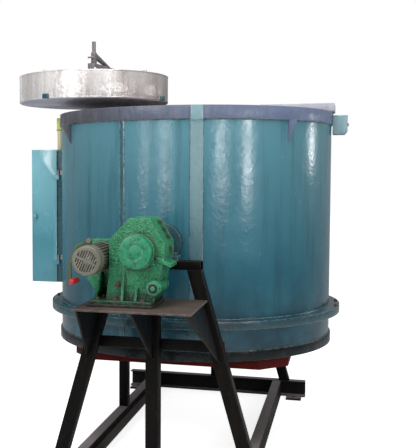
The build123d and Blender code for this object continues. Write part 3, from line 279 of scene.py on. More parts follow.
rust = (0.13, 0.055, 0.03)
brown = (0.095, 0.055, 0.038)
soot = (0.012, 0.012, 0.013)
pale_edge = (0.34, 0.35, 0.35)
finishes = {
    "stand_paint": worn_paint("black_frame_paint", (0.0055, 0.005, 0.0045), (0.0025, 0.0025, 0.0025),
                              (0.014, 0.009, 0.006), (0.05, 0.024, 0.014), (0.30, 0.55),
                              ((40.0, 0.0015), (160.0, 0.0005)), 0.5, 0.3, gloss=0.08, edge=brown),
    # Beam paint with painted light on its top faces.
    "top_lit_beam_paint": worn_paint("top_lit_beam_paint", (0.010, 0.009, 0.009), (0.005, 0.005, 0.005),
                                   (0.02, 0.014, 0.011), (0.05, 0.03, 0.02), (0.4, 0.7), ((40.0, 0.0015),),
                                   0.5, 0.3, gloss=0.15, edge=brown, top_light=(0.22, 0.20, 0.195)),
    "platform_steel": worn_paint("rusty_platform_plate", (0.095, 0.068, 0.054), (0.034, 0.026, 0.022),
                                 (0.012, 0.010, 0.009), (0.15, 0.085, 0.05), (0.5, 0.8),
                                 ((30.0, 0.002), (150.0, 0.001)), 0.6, 0.5, gloss=0.3,
                                 edge=(0.30, 0.25, 0.21)),
    "bracket_paint": worn_paint("black_bracket_paint", (0.008, 0.0095, 0.0105), (0.004, 0.004, 0.005),
                                (0.016, 0.012, 0.009), (0.06, 0.035, 0.024), (0.3, 0.55),
                                ((40.0, 0.0015),), 0.5, 0.3, gloss=0.12, edge=brown),
    "bearing_iron": worn_paint("bearing_block_iron", (0.022, 0.085, 0.10), (0.009, 0.032, 0.042), soot,
                               rust, (0.18, 0.4), ((60.0, 0.0025),), 0.4, 0.25, edge=pale_edge),
    "gear_case_paint": cast_green("green_case_paint", (0.014, 0.255, 0.100), (0.007, 0.155, 0.058), 120.0,
                                  0.0060, 0.35),
    "gear_cover_paint": cast_green("green_cover_paint", (0.014, 0.260, 0.120), (0.009, 0.185, 0.082), 60.0,
                                   0.0010, 0.10),
    "base_plate_steel": worn_paint("greasy_base_plate", (0.022, 0.015, 0.011), (0.009, 0.008, 0.007), soot,
                                   rust, (0.35, 0.7), ((50.0, 0.005), (190.0, 0.0015)), 0.4, 0.4),
    "motor_paint": worn_paint("olive_motor_paint", (0.185, 0.185, 0.14), (0.10, 0.10, 0.075),
                              (0.04, 0.038, 0.03), (0.30, 0.20, 0.15), (0.35, 0.55), ((90.0, 0.0012),),
                              0.3, 0.35, edge=(0.42, 0.36, 0.31)),
    "machined_steel": bare_metal("machined_steel", (0.42, 0.42, 0.43), (0.26, 0.25, 0.25)),
    "gear_steel": bare_metal("oiled_gear_steel", (0.36, 0.36, 0.37), (0.20, 0.19, 0.18), (0.2, 0.4)),
    "bolt_steel": worn_paint("rusty_bolt_steel", (0.11, 0.055, 0.035), (0.06, 0.03, 0.02), soot, rust,
                             (0.5, 0.8), ((120.0, 0.001),), 0.3, 0.5),
    "lever_paint": worn_paint("green_brown_lever_paint", (0.055, 0.12, 0.05), (0.06, 0.07, 0.035),
                              (0.035, 0.028, 0.018), (0.12, 0.06, 0.035), (0.35, 0.6), ((80.0, 0.001),),
                              0.4, 0.55, edge=brown),
    "grip_red": worn_paint("red_grip_plastic", (0.62, 0.016, 0.013), (0.46, 0.012, 0.010),
                           (0.15, 0.02, 0.015), (0.40, 0.12, 0.10), (0.3, 0.5), ((90.0, 0.0006),), 0.3,
                           0.15),
    # Drum shell paint: lighter and greyer towards the top as painted light.
    "shell_paint": worn_paint("blue_green_shell_paint", (0.022, 0.135, 0.180), (0.012, 0.088, 0.130),
                              (0.006, 0.038, 0.058), (0.13, 0.19, 0.20), (0.13, 0.28),
                              ((4.0, 0.0035), (42.0, 0.0009)), 0.45, 0.05, (0.70, 1.25),
                              top_tone_and_light=(1.15, 1.90, (0.078, 0.215, 0.262))),
    "band_steel": banded_paint(),
    # Strap paint: lighter towards the top as painted light.
    "strap_paint": worn_paint("strap_paint", (0.060, 0.170, 0.205), (0.035, 0.120, 0.155),
                              (0.02, 0.05, 0.065), (0.26, 0.30, 0.31), (0.20, 0.38), ((40.0, 0.0015),),
                              0.5, 0.30, (0.75, 1.35), edge=(0.30, 0.38, 0.40),
                              top_tone_and_light=(1.10, 1.70, (0.200, 0.320, 0.350))),
    "seam_paint": worn_paint("seam_paint", (0.030, 0.105, 0.130), (0.015, 0.065, 0.085),
                             (0.01, 0.03, 0.04), (0.26, 0.30, 0.31), (0.15, 0.30), ((60.0, 0.002),), 0.5,
                             0.20, edge=(0.40, 0.46, 0.48)),
    # Painted shade: the terminal box body in a darker copy of the door panel paint.
    "shaded_box_paint": worn_paint("shaded_box_paint", (0.020, 0.085, 0.105), (0.012, 0.055, 0.070),
                                 (0.01, 0.03, 0.04), (0.16, 0.22, 0.23), (0.20, 0.36), ((60.0, 0.0008),),
                                 0.3, 0.10, edge=(0.10, 0.19, 0.21)),
    "ring_steel": worn_paint("ring_paint", (0.024, 0.085, 0.105), (0.012, 0.040, 0.055),
                             (0.010, 0.012, 0.014), (0.14, 0.13, 0.12), (0.18, 0.36), ((40.0, 0.002),),
                             0.5, 0.3, edge=pale_edge),
    "pan_red": worn_paint("red_oxide_paint", (0.095, 0.008, 0.005), (0.045, 0.004, 0.003),
                          (0.02, 0.004, 0.003), (0.05, 0.014, 0.009), (0.45, 0.7), ((30.0, 0.002),), 0.5,
                          0.3, gloss=0.08),
    "top_steel": worn_paint("sooty_top_plate", (0.11, 0.10, 0.10), (0.06, 0.055, 0.055), soot, rust,
                            (0.5, 0.8), ((30.0, 0.002), (140.0, 0.001)), 0.4, 0.4),
    "launder_ceramic": worn_paint("launder_lining", (0.50, 0.495, 0.56), (0.36, 0.355, 0.41),
                                  (0.20, 0.19, 0.20), (0.24, 0.20, 0.19), (0.75, 0.95),
                                  ((30.0, 0.004), (160.0, 0.0015)), 0.35, 0.3, edge=(0.20, 0.18, 0.18)),
    "lining_ceramic": worn_paint("rammed_lining", (0.42, 0.36, 0.29), (0.27, 0.22, 0.18),
                                 (0.10, 0.085, 0.08), (0.16, 0.11, 0.08), (0.8, 1.0),
                                 ((25.0, 0.006), (120.0, 0.002)), 0.4, 0.3),
    "block_ceramic": worn_paint("refractory_block", (0.50, 0.44, 0.34), (0.38, 0.33, 0.26),
                                (0.2, 0.17, 0.14), (0.25, 0.18, 0.12), (0.8, 1.0), ((25.0, 0.005),), 0.3,
                                0.2),
    "lid_fibre": worn_paint("ceramic_fibre", (0.72, 0.71, 0.82), (0.50, 0.49, 0.58), (0.20, 0.195, 0.225),
                            (0.30, 0.26, 0.24), (0.85, 1.0), ((35.0, 0.008), (180.0, 0.002)), 0.4, 0.3),
    "arm_paint": worn_paint("mauve_grey_arm_paint", (0.17, 0.15, 0.165), (0.10, 0.085, 0.10),
                            (0.05, 0.04, 0.045), (0.12, 0.065, 0.05), (0.4, 0.6), ((70.0, 0.001),), 0.4,
                            0.3, edge=pale_edge),
    "copper": bare_metal("copper_tube", (0.62, 0.26, 0.14), (0.38, 0.15, 0.08)),
    "yoke_steel": bare_metal("stacked_yoke_sheets", (0.16, 0.16, 0.17), (0.08, 0.08, 0.085),
                             stretch=(40, 40, 1)),
    "fixing_steel": bare_metal("plated_fixings", (0.40, 0.39, 0.38), (0.24, 0.23, 0.22)),
    # Door panel paint: much lighter towards the top as painted light.
    "panel_paint": worn_paint("panel_paint", (0.088, 0.310, 0.380), (0.060, 0.245, 0.305),
                              (0.035, 0.15, 0.19), (0.24, 0.34, 0.36), (0.16, 0.30),
                              ((8.0, 0.003), (60.0, 0.0006)), 0.3, 0.08, edge=(0.25, 0.42, 0.45),
                              top_tone_and_light=(1.25, 1.75, (0.250, 0.560, 0.640))),
    # Conduit paint: the yellow top is the pipe's own colour; the pale tube below it is painted glare.
    "conduit_paint": worn_paint("yellow_conduit_paint", (0.86, 0.85, 0.55), (0.70, 0.69, 0.42),
                                (0.34, 0.32, 0.20), (0.4, 0.32, 0.18), (0.35, 0.6), ((60.0, 0.001),), 0.3,
                                0.2, top_tone_and_light=(1.965, 1.975, (0.90, 0.86, 0.22))),
}


def lid_metal():
    """Bright sheet hammered over the lid: tall soft dents, tall light and grey streaks that are partly rubbed
    sheet and partly painted reflection, and painted shade towards +X.
    """
    finish, nodes, links, shader, place = new_finish("bright_lid_sheet")
    run_place = stretched(nodes, links, place, (9.0, 9.0, 0.9))
    # Tall light and grey streaks: partly rubbed sheet, partly painted reflection.
    streak = masked(nodes, links, noise(nodes, links, run_place, 1.0, 6.0, 0.7), 0.34, 0.60)
    tone = blended(nodes, links, streak, (0.50, 0.45, 0.43), (0.95, 0.93, 0.92))
    shaded_side = axis_share(nodes, links, place, "X", -0.55, -0.12, 0.75)
    tone = blended(nodes, links, shaded_side, tone, (0.34, 0.285, 0.27))
    spots = masked(nodes, links, noise(nodes, links, place, 30.0, 8.0, 0.7), 0.62, 0.70, 0.45)
    tone = blended(nodes, links, spots, tone, (0.22, 0.18, 0.16))
    links.new(tone, shader.inputs["Base Color"])
    rough_and_bumped(nodes, links, shader, place, (0.22, 0.38), ((6.0, 0.014), (55.0, 0.002)))
    shader.inputs["Metallic"].default_value = 0.40
    return finish


finishes["lid_paint"] = lid_metal()

finish_of_node = {"platform_brackets": "bracket_paint", "gearbox_covers": "gear_cover_paint",
                  "rear_cross_beam": "top_lit_beam_paint", "left_side_beam": "top_lit_beam_paint",
                  "right_side_beam": "top_lit_beam_paint", "terminal_box": "shaded_box_paint",
                  "drive_coupling": "bearing_iron",
                  "front_trunnion": "bearing_iron", "rear_trunnion": "bearing_iron"}
for name, node in frame["nodes"].items():
    node.data.materials.clear()
    node.data.materials.append(finishes[finish_of_node.get(name, slot_of_node[name])])


# Modelling helpers
def deselect():
    if bpy.context.object and bpy.context.object.mode != 'OBJECT':
        bpy.ops.object.mode_set(mode='OBJECT')
    bpy.ops.object.select_all(action='DESELECT')


def only(piece):
    deselect()
    piece.select_set(True)
    bpy.context.view_layer.objects.active = piece


def apply_modifiers(piece):
    only(piece)
    for modifier in list(piece.modifiers):
        bpy.ops.object.modifier_apply(modifier=modifier.name)


def bevelled(piece, width, segments=2, angle=35):
    bevel = piece.modifiers.new("edge_rounding", 'BEVEL')
    bevel.width = width
    bevel.segments = segments
    bevel.limit_method = 'ANGLE'
    bevel.angle_limit = radians(angle)
    bevel.use_clamp_overlap = True
    apply_modifiers(piece)


def settle(piece, name, body, slot, finish=None):
    """Name a finished piece, put its place in its mesh, dress it and let it ride."""
    only(piece)
    piece.name = name
    piece.data.name = name
    bpy.ops.object.transform_apply(location=True, rotation=True, scale=True)
    bpy.ops.object.shade_smooth_by_angle(angle=radians(35))
    piece.data.materials.clear()
    piece.data.materials.append(finish or finishes[slot])
    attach(piece, body)
    return piece


def joined(pieces):
    deselect()
    for piece in pieces:
        piece.select_set(True)
    bpy.context.view_layer.objects.active = pieces[0]
    bpy.ops.object.join()
    return bpy.context.object


def drop_loose_parts(piece, dropped):
    """Delete the loose parts that hold a point for which the test is true, or the others if it says so."""
    test, drop_matching = dropped
    only(piece)
    bpy.ops.object.mode_set(mode='EDIT')
    bpy.ops.mesh.select_mode(type='VERT')
    bpy.ops.mesh.select_all(action='DESELECT')
    net = bmesh.from_edit_mesh(piece.data)
    for vertex in net.verts:
        vertex.select = test(piece.matrix_world @ vertex.co)
    net.select_flush(True)
    bmesh.update_edit_mesh(piece.data)
    bpy.ops.mesh.select_linked()
    if not drop_matching:
        bpy.ops.mesh.select_all(action='INVERT')
    bpy.ops.mesh.delete(type='VERT')
    bpy.ops.object.mode_set(mode='OBJECT')


def softened(node, width, dropped=None):
    """A CAD node again with its edges rounded, standing for that node."""
    source = frame["nodes"][node]
    piece = source.copy()
    piece.data = source.data.copy()
    bpy.context.collection.objects.link(piece)
    piece.hide_viewport = False
    piece.hide_render = False
    piece.hide_set(False)
    piece.parent = None
    piece.matrix_world = source.matrix_world.copy()
    only(piece)
    bpy.ops.object.mode_set(mode='EDIT')
    bpy.ops.mesh.select_all(action='SELECT')
    bpy.ops.mesh.remove_doubles(threshold=0.00002)
    bpy.ops.mesh.dissolve_limited(angle_limit=radians(0.6))
    bpy.ops.object.mode_set(mode='OBJECT')
    if dropped:
        drop_loose_parts(piece, dropped)
    bevelled(piece, width)
    finish = finishes[finish_of_node.get(node, slot_of_node[node])]
    settle(piece, node + "_dressed", body_of_node[node], slot_of_node[node], finish)
    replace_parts(piece, node)
    return piece


for node, width in {
    "gearbox_front_housing": 0.006, "gearbox_rear_housing": 0.006, "gearbox_covers": 0.005,
    "gearbox_base_plate": 0.003, "platform_plate": 0.0025, "platform_brackets": 0.002,
    "front_legs": 0.006, "rear_legs": 0.006, "front_rails": 0.006, "rear_rails": 0.006,
    "front_cross_beam": 0.004, "rear_cross_beam": 0.004, "left_side_beam": 0.004, "right_side_beam": 0.004,
    "rest_post": 0.005, "rest_pad": 0.003, "front_bearing": 0.004, "rear_bearing": 0.004,
    "drive_coupling": 0.003, "front_trunnion": 0.004, "rear_trunnion": 0.004,
    "drum_bands": 0.002, "stiffener_ring": 0.0025, "bottom_pan": 0.004,
    "launder": 0.006, "spout_bracket": 0.003, "terminal_box": 0.0012, "terminal_door": 0.0015,
    "mouth_ring": 0.006, "lid_shell": 0.0015, "swing_arm": 0.004, "rod_guide": 0.001, "post_brackets": 0.002,
    "release_lever": 0.002, "lever_grip": 0.006, "conduit": 0.002, "lift_rod": 0.0015,
}.items():
    softened(node, width)


def stands_far_out(point):
    return sqrt((point.x - drum_x)**2 + point.y**2) > drum_radius + 0.03


def lies_on_seam(point):
    across = (point.x - drum_x) * cos(radians(-18)) + point.y * sin(radians(-18))
    return point.y < 0 and abs(across) < 0.02


def not_a_strap(point):
    return stands_far_out(point) or lies_on_seam(point)


def redressed(piece, name, finish):
    piece.name = name
    piece.data.name = name
    piece.data.materials.clear()
    piece.data.materials.append(finishes[finish])


softened("shell_straps", 0.0015, dropped=(not_a_strap, True))
redressed(softened("shell_straps", 0.0015, dropped=(stands_far_out, False)), "rim_gussets", "band_steel")
redressed(softened("shell_straps", 0.0010, dropped=(lies_on_seam, False)), "shell_seam", "seam_paint")


def bar(place, size, turn=(0, 0, 0)):
    bpy.ops.mesh.primitive_cube_add(size=1, location=place, rotation=turn)
    piece = bpy.context.object
    piece.scale = size
    bpy.ops.object.transform_apply(location=False, rotation=False, scale=True)
    return piece


def round_bar(place, radius, depth, turn=(0, 0, 0), vertices=32):
    bpy.ops.mesh.primitive_cylinder_add(vertices=vertices, radius=radius, depth=depth, location=place,
                                        rotation=turn)
    return bpy.context.object


def facing(direction):
    return Vector(direction).to_track_quat('Z', 'Y').to_euler()


def bolt(place, direction, radius, height, washer=True):
    """Six-sided head with a rounded crown, standing on a washer."""
    along = Vector(direction).normalized()
    turn = facing(direction)
    middle = Vector(place) + along * height * 0.5
    head = round_bar(middle, radius, height, turn, 6)
    bevelled(head, radius * 0.12, 2, 30)
    pieces = [head]
    if washer:
        ring = round_bar(Vector(place) + along * height * 0.12, radius * 1.35, height * 0.24, turn, 24)
        bevelled(ring, radius * 0.06, 1, 30)
        pieces.append(ring)
    return joined(pieces) if len(pieces) > 1 else head


def bead_ring(radius, height, thickness, centre=(drum_x, 0.0), ripple=0.0):
    """A weld bead or rolled lip laid round an upright axis."""
    bpy.ops.mesh.primitive_torus_add(major_segments=180, minor_segments=8, major_radius=radius,
                                     minor_radius=thickness, location=(centre[0], centre[1], height))
    piece = bpy.context.object
    if ripple:
        texture = bpy.data.textures.new("bead_ripple", 'CLOUDS')
        texture.noise_scale = 0.02
        shift = piece.modifiers.new("ripple", 'DISPLACE')
        shift.texture = texture
        shift.strength = ripple
        shift.texture_coords = 'LOCAL'
        apply_modifiers(piece)
    return piece


def bead_line(start, end, thickness):
    """A weld bead along a straight joint."""
    a, b = Vector(start), Vector(end)
    length = (b - a).length
    bpy.ops.mesh.primitive_cylinder_add(vertices=8, radius=thickness, depth=length, location=(a + b) / 2,
                                        rotation=facing(b - a))
    piece = bpy.context.object
    cuts = max(2, int(length / 0.012))
    only(piece)
    bpy.ops.object.mode_set(mode='EDIT')
    bpy.ops.mesh.select_mode(type='EDGE')
    bpy.ops.mesh.select_all(action='DESELECT')
    net = bmesh.from_edit_mesh(piece.data)
    for edge in net.edges:
        one, two = edge.verts
        edge.select = abs(one.co.z - two.co.z) > length * 0.9
    bmesh.update_edit_mesh(piece.data)
    bpy.ops.mesh.subdivide_edgering(number_cuts=cuts)
    bpy.ops.object.mode_set(mode='OBJECT')
    texture = bpy.data.textures.new("bead_ripple", 'CLOUDS')
    texture.noise_scale = 0.012
    shift = piece.modifiers.new("ripple", 'DISPLACE')
    shift.texture = texture
    shift.strength = 0.0015
    apply_modifiers(piece)
    return piece


def on_shell(angle, reach, height):
    turn = radians(angle)
    return Vector((drum_x + reach * cos(turn), reach * sin(turn), height))


# Weld beads on the drum
strap_half_width = 0.0345
seam_half_width = 0.013
bead_reach = drum_radius + 0.0008
over_ring = (0.895, 1.98)
under_ring = (0.715, 0.83)
shell_beads = []
for angle, half in ((-79, strap_half_width), (101, strap_half_width), (-108, seam_half_width)):
    for side in (-1, 1):
        turn = angle + side * degrees(half / drum_radius)
        for low, high in (over_ring, under_ring):
            foot = on_shell(turn, bead_reach, low)
            shell_beads.append(bead_line(foot, on_shell(turn, bead_reach, high), 0.0035))
settle(joined(shell_beads), "shell_weld_beads", "furnace", "strap_paint", finishes["seam_paint"])
round_beads = []
for height, thickness in ((1.984, 0.004), (0.711, 0.004), (0.8865, 0.0035), (0.8755, 0.003)):
    round_beads.append(bead_ring(drum_radius + 0.0012, height, thickness, ripple=0.002))
settle(joined(round_beads), "round_weld_beads", "furnace", "ring_steel")


# Gearbox, motor and bearing details
cover_face = -1.508
case_front = -1.43
foot_top = 1.075
gauge_x = 0.088
gauge_z = tilt_height - 0.17
lying = (pi / 2, 0, 0)


def cut_by(piece, cutter):
    only(piece)
    cut = piece.modifiers.new("cut", 'BOOLEAN')
    cut.operation = 'DIFFERENCE'
    cut.object = cutter
    cut.solver = 'EXACT'
    apply_modifiers(piece)
    only(cutter)
    bpy.ops.object.delete()


def fan_cowl():
    """Rounded sheet cowl with slanting air slits in its face."""
    front = -1.565
    back = -1.495
    radius = 0.073
    sheet = 0.002
    length = back - front
    shell = round_bar((motor_x, (front + back) / 2, motor_z), radius, length, lying, 64)
    bevelled(shell, 0.010, 5)
    hollow = round_bar((motor_x, (front + back) / 2 + sheet, motor_z), radius - sheet, length, lying, 64)
    bevelled(hollow, 0.009, 5)
    cut_by(shell, hollow)
    slits = []
    lean = radians(24)
    slit_pitch = 0.0118
    grille_radius = 0.054
    for number in range(9):
        across = (number - 4) * slit_pitch
        for side in (-1, 1):
            half = sqrt(grille_radius**2 - across**2) - 0.004
            along = side * (half / 2 + 0.004)
            x = motor_x + across * cos(lean) + along * sin(lean)
            z = motor_z - across * sin(lean) + along * cos(lean)
            slits.append(bar((x, front, z), (0.0062, 0.02, half), (0, lean, 0)))
    cut_by(shell, joined(slits))
    rim = round_bar((motor_x, back - 0.003, motor_z), radius - 0.0006, 0.006, lying, 64)
    core = round_bar((motor_x, back - 0.003, motor_z), 0.0625, 0.02, lying, 48)
    cut_by(rim, core)
    return joined([shell, rim])


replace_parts(settle(fan_cowl(), "fan_cowl", "stand", "motor_paint"), "motor_cowl")
cowl_screws = []
for angle in (45, 135, 225, 315):
    outward = Vector((cos(radians(angle)), 0, sin(radians(angle))))
    place = Vector((motor_x, -1.503, motor_z)) + outward * 0.0728
    cowl_screws.append(bolt(place, outward, 0.0035, 0.003, washer=False))
settle(joined(cowl_screws), "cowl_screws", "stand", "bolt_steel")

screw_circle = 0.063
case_screws = []
for angle in (30, 90, 150, 210, 270, 330):
    turn = radians(angle)
    place = (screw_circle * cos(turn), cover_face, tilt_height + screw_circle * sin(turn))
    case_screws.append(bolt(place, (0, -1, 0), 0.0055, 0.004, washer=False))
settle(joined(case_screws), "round_cover_screws", "stand", "gear_case_paint")
bpy.ops.mesh.primitive_torus_add(major_segments=96, minor_segments=8, major_radius=0.0865,
                                 minor_radius=0.0022, location=(0, case_front - 0.001, tilt_height),
                                 rotation=lying)
settle(bpy.context.object, "round_cover_seal", "stand", "bolt_steel")

foot_bolts = []
for x, y in ((-0.200, -1.345), (-0.200, -1.455), (-0.108, -1.462), (0.028, -1.462)):
    foot_bolts.append(bolt((x, y, foot_top), (0, 0, 1), 0.011, 0.011))
settle(joined(foot_bolts), "gearbox_foot_bolts", "stand", "bolt_steel")
plug = bolt((-0.102, case_front, 1.150), (0, -1, 0), 0.010, 0.010)
settle(plug, "drain_plug", "stand", "bolt_steel")
bpy.ops.mesh.primitive_torus_add(major_segments=48, minor_segments=10, major_radius=0.0195,
                                 minor_radius=0.0032, location=(gauge_x, -1.5005, gauge_z), rotation=lying)
settle(bpy.context.object, "oil_gauge_bezel", "stand", "base_plate_steel")
glass = round_bar((gauge_x, -1.5015, gauge_z), 0.0165, 0.003, lying, 40)
bevelled(glass, 0.001, 2, 30)
settle(glass, "oil_gauge_face", "stand", "base_plate_steel")

for name, side in (("front", -1), ("rear", 1)):
    y = side * frame_y
    nipple = [round_bar((0, y, 1.404), 0.006, 0.010, vertices=6),
              round_bar((0, y, 1.412), 0.0035, 0.010, vertices=16)]
    bpy.ops.mesh.primitive_uv_sphere_add(segments=16, ring_count=8, radius=0.0042, location=(0, y, 1.418))
    nipple.append(bpy.context.object)
    settle(joined(nipple), name + "_grease_nipple", "stand", "fixing_steel")

# Weld beads on the stand and platform
frame_beads = []
for side in (-1, 1):
    inner_y = side * (frame_y - 0.0345)
    outer_y = side * (frame_y + 0.0345)
    for x0, x1 in ((-0.25, -0.18), (0.18, 0.25)):
        frame_beads.append(bead_line((x0, inner_y, 1.1955), (x1, inner_y, 1.1955), 0.003))
    for x0, x1 in ((-0.035, 0.035), (-0.56, -0.49), (0.49, 0.56)):
        frame_beads.append(bead_line((x0, outer_y, 0.1195), (x1, outer_y, 0.1195), 0.004))
bracket_y = -1.1365
bracket_z = 1.033
for x0, x1 in ((-0.2088, -0.2842), (0.2088, 0.2842), (-0.05, 0.05)):
    frame_beads.append(bead_line((x0, bracket_y, bracket_z), (x1, bracket_y, bracket_z), 0.0035))
settle(joined(frame_beads), "frame_weld_beads", "stand", "stand_paint")

# Drum fittings
bolt_circle = 0.52
top_bolts = []
for number in range(16):
    angle = radians(22.5 * number + 11.25)
    place = (drum_x + bolt_circle * cos(angle), bolt_circle * sin(angle), drum_top)
    if not (place[0] > 0.4 and abs(place[1]) < 0.13):
        top_bolts.append(bolt(place, (0, 0, 1), 0.011, 0.011))
settle(joined(top_bolts), "top_plate_bolts", "furnace", "bolt_steel")
spout_bolts = []
for y in (-0.045, 0.045):
    spout_bolts.append(bolt((0.96, y, 1.985), (1, 0, 0), 0.007, 0.006))
settle(joined(spout_bolts), "spout_bracket_bolts", "furnace", "bolt_steel")
ring_bolts = [bolt(on_shell(angle, 0.898, 0.885), (0, 0, 1), 0.009, 0.009) for angle in (-6, 8, 172, 186)]
settle(joined(ring_bolts), "stiffener_ring_bolts", "furnace", "bolt_steel")
settle(bead_ring(0.0195, 1.976, 0.004, (-0.867, -0.085)), "conduit_locknut", "furnace", "fixing_steel")

# Terminal box: screws on the hinge leaves and bolts on the copper leads
leaf_screws = []
fixed_screws = []
for height in (1.680, 1.121):
    for drop in (0.010, 0.022):
        leaf_screws.append(bolt((-0.900, -0.141, height - drop), (0, -1, 0), 0.0032, 0.002, washer=False))
        fixed_screws.append(bolt((-0.844, -0.133, height + drop), (0, -1, 0), 0.0032, 0.002, washer=False))
settle(joined(leaf_screws), "door_leaf_screws", "terminal_door", "fixing_steel")
settle(joined(fixed_screws), "box_leaf_screws", "furnace", "fixing_steel")
lead_bolts = [bolt((-0.932, -0.015, height), (0, -1, 0), 0.008, 0.007) for height in (1.033, 1.763)]
settle(joined(lead_bolts), "lead_clamp_bolts", "furnace", "fixing_steel")

# Lid: rolled edges, a lapped seam, ribs and the foot of the lift rod
lid_x = -0.623
lid_y = -0.115
lid_radius = 0.478
lid_top = 2.306
lid_foot = 2.141
skirt_height = lid_top - lid_foot - 0.012
rolled = [bead_ring(lid_radius - 0.0015, lid_top - 0.003, 0.0035, (lid_x, lid_y)),
          bead_ring(lid_radius - 0.0015, lid_foot + 0.004, 0.0035, (lid_x, lid_y))]
settle(joined(rolled), "lid_rolled_edges", "lid", "lid_paint")


def lid_seams():
    strips = []
    for angle in (-148, -62, 35, 120):
        turn = radians(angle)
        outward = Vector((cos(turn), sin(turn), 0))
        middle = Vector((lid_x, lid_y, (lid_top + lid_foot) / 2)) + outward * (lid_radius + 0.0008)
        strip = bar(middle, (0.0024, 0.018, skirt_height), (0, 0, turn))
        bevelled(strip, 0.0008, 1, 30)
        strips.append(strip)
        for share in (0.12, 0.37, 0.63, 0.88):
            place = middle + outward * 0.001 + Vector((0, 0, (share - 0.5) * skirt_height))
            strips.append(bolt(place, outward, 0.003, 0.0018, washer=False))
    return joined(strips)


settle(lid_seams(), "lid_lapped_seams", "lid", "lid_paint")
pads = []
for angle in (-110, -12, 70):
    outward = Vector((cos(radians(angle)), sin(radians(angle)), 0))
    middle = Vector((lid_x, lid_y, lid_foot + 0.014)) + outward * (lid_radius + 0.0075)
    pad = bar(middle, (0.0150, 0.0412, 0.0292), (0, 0, radians(angle)))
    bevelled(pad, 0.0015, 2, 30)
    pads.append(pad)
settle(joined(pads), "lid_lug_pads", "lid", "lid_paint", finishes["seam_paint"])
ribs = []
for angle in range(0, 360, 45):
    turn = radians(angle + 18)
    middle = Vector((lid_x + 0.275 * cos(turn), lid_y + 0.275 * sin(turn), lid_top + 0.007))
    rib = bar(middle, (0.34, 0.012, 0.014), (0, 0, turn))
    bevelled(rib, 0.002, 2, 30)
    ribs.append(rib)
foot = bar((lid_x, lid_y, lid_top + 0.004), (0.13, 0.13, 0.008), (0, 0, radians(83)))
bevelled(foot, 0.003, 2, 30)
hole = bar((lid_x, lid_y, lid_top + 0.004), (0.0215, 0.0215, 0.05), (0, 0, radians(83.2)))
cut_by(foot, hole)
ribs.append(foot)
for angle in (38, 128, 218, 308):
    turn = radians(angle)
    place = (lid_x + 0.068 * cos(turn), lid_y + 0.068 * sin(turn), lid_top + 0.008)
    ribs.append(bolt(place, (0, 0, 1), 0.008, 0.008))
settle(joined(ribs), "lid_ribs_and_rod_foot", "lid", "lid_paint")


# Floor, light and camera
def floor_finish():
    finish, nodes, links, shader, place = new_finish("pale_floor")
    shader.inputs["Base Color"].default_value = (0.9, 0.9, 0.9, 1)
    shader.inputs["Roughness"].default_value = 0.9
    glow = nodes.new("ShaderNodeEmission")
    seen = nodes.new("ShaderNodeLightPath")
    strength = nodes.new("ShaderNodeMath")
    strength.operation = 'MULTIPLY'
    strength.inputs[1].default_value = 0.8
    links.new(seen.outputs["Is Camera Ray"], strength.inputs[0])
    links.new(strength.outputs[0], glow.inputs["Strength"])
    add = nodes.new("ShaderNodeAddShader")
    links.new(shader.outputs["BSDF"], add.inputs[0])
    links.new(glow.outputs["Emission"], add.inputs[1])
    links.new(add.outputs["Shader"], nodes["Material Output"].inputs["Surface"])
    return finish


deselect()
bpy.ops.mesh.primitive_plane_add(size=60, location=(0, 0, -0.001))
floor = bpy.context.object
floor.name = "studio_floor"
floor.data.materials.append(floor_finish())


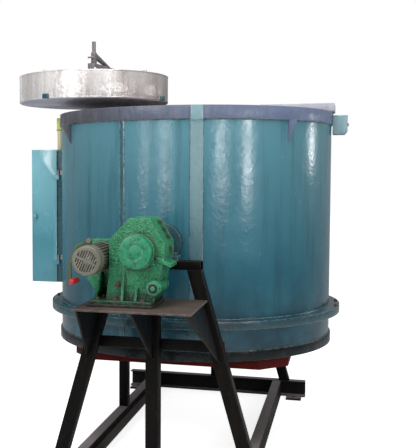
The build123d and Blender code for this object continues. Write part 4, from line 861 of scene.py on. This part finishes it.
def studio_world():
    world = bpy.context.scene.world or bpy.data.worlds.new("studio")
    bpy.context.scene.world = world
    world.use_nodes = True
    nodes = world.node_tree.nodes
    links = world.node_tree.links
    nodes.clear()
    lit = nodes.new("ShaderNodeBackground")
    lit.inputs["Color"].default_value = (0.95, 0.97, 1.0, 1)
    lit.inputs["Strength"].default_value = 0.34
    shown = nodes.new("ShaderNodeBackground")
    shown.inputs["Color"].default_value = (1, 1, 1, 1)
    shown.inputs["Strength"].default_value = 1.0
    path = nodes.new("ShaderNodeLightPath")
    either = nodes.new("ShaderNodeMath")
    either.operation = 'MAXIMUM'
    links.new(path.outputs["Is Camera Ray"], either.inputs[0])
    links.new(path.outputs["Is Transmission Ray"], either.inputs[1])
    mix = nodes.new("ShaderNodeMixShader")
    links.new(either.outputs[0], mix.inputs[0])
    links.new(lit.outputs[0], mix.inputs[1])
    links.new(shown.outputs[0], mix.inputs[2])
    out = nodes.new("ShaderNodeOutputWorld")
    links.new(mix.outputs[0], out.inputs["Surface"])


studio_world()


def panel_light(name, place, aim, size, power):
    bpy.ops.object.light_add(type='AREA', location=place)
    light = bpy.context.object
    light.name = name
    light.data.shape = 'RECTANGLE'
    light.data.size = size[0]
    light.data.size_y = size[1]
    light.data.energy = power
    light.rotation_euler = (Vector(aim) - Vector(place)).to_track_quat('-Z', 'Y').to_euler()


panel_light("window_left", (-2.4, -4.7, 2.05), (0, 0, 1.8), (0.22, 1.2), 10)
panel_light("window_middle", (-1.03, -5.2, 2.05), (0, 0, 1.8), (0.50, 1.2), 17)
panel_light("window_right", (2.66, -4.64, 2.05), (0, 0, 1.8), (0.55, 1.2), 22)
panel_light("window_far_right", (3.65, -3.12, 2.0), (0, 0, 1.8), (0.14, 1.1), 28)
panel_light("far_right_glint", (4.2, 1.7, 1.97), (0.8, 0, 1.9), (0.10, 0.25), 9)
panel_light("lid_light", (-2.0, -4.4, 3.7), (-0.62, -0.1, 2.25), (0.9, 0.9), 62)
panel_light("ceiling_light", (0.6, -2.2, 5.6), (0, 0, 1.2), (4.0, 2.4), 190)

bpy.ops.object.camera_add(location=(0.968, -5.343, 1.684))
camera = bpy.context.object
camera.name = "photo_camera"
look_left = Matrix.Rotation(0.2818, 4, 'Z')
look_down = Matrix.Rotation(pi / 2 - 0.0592, 4, 'X')
roll = Matrix.Rotation(-0.0007, 4, 'Z')
camera.rotation_euler = (look_left @ look_down @ roll).to_euler()
camera.data.sensor_width = 36
camera.data.lens = 67.25
camera.data.shift_x = 0.2287
camera.data.clip_end = 100
bpy.context.scene.camera = camera
bpy.context.scene.view_settings.view_transform = 'Standard'

deselect()
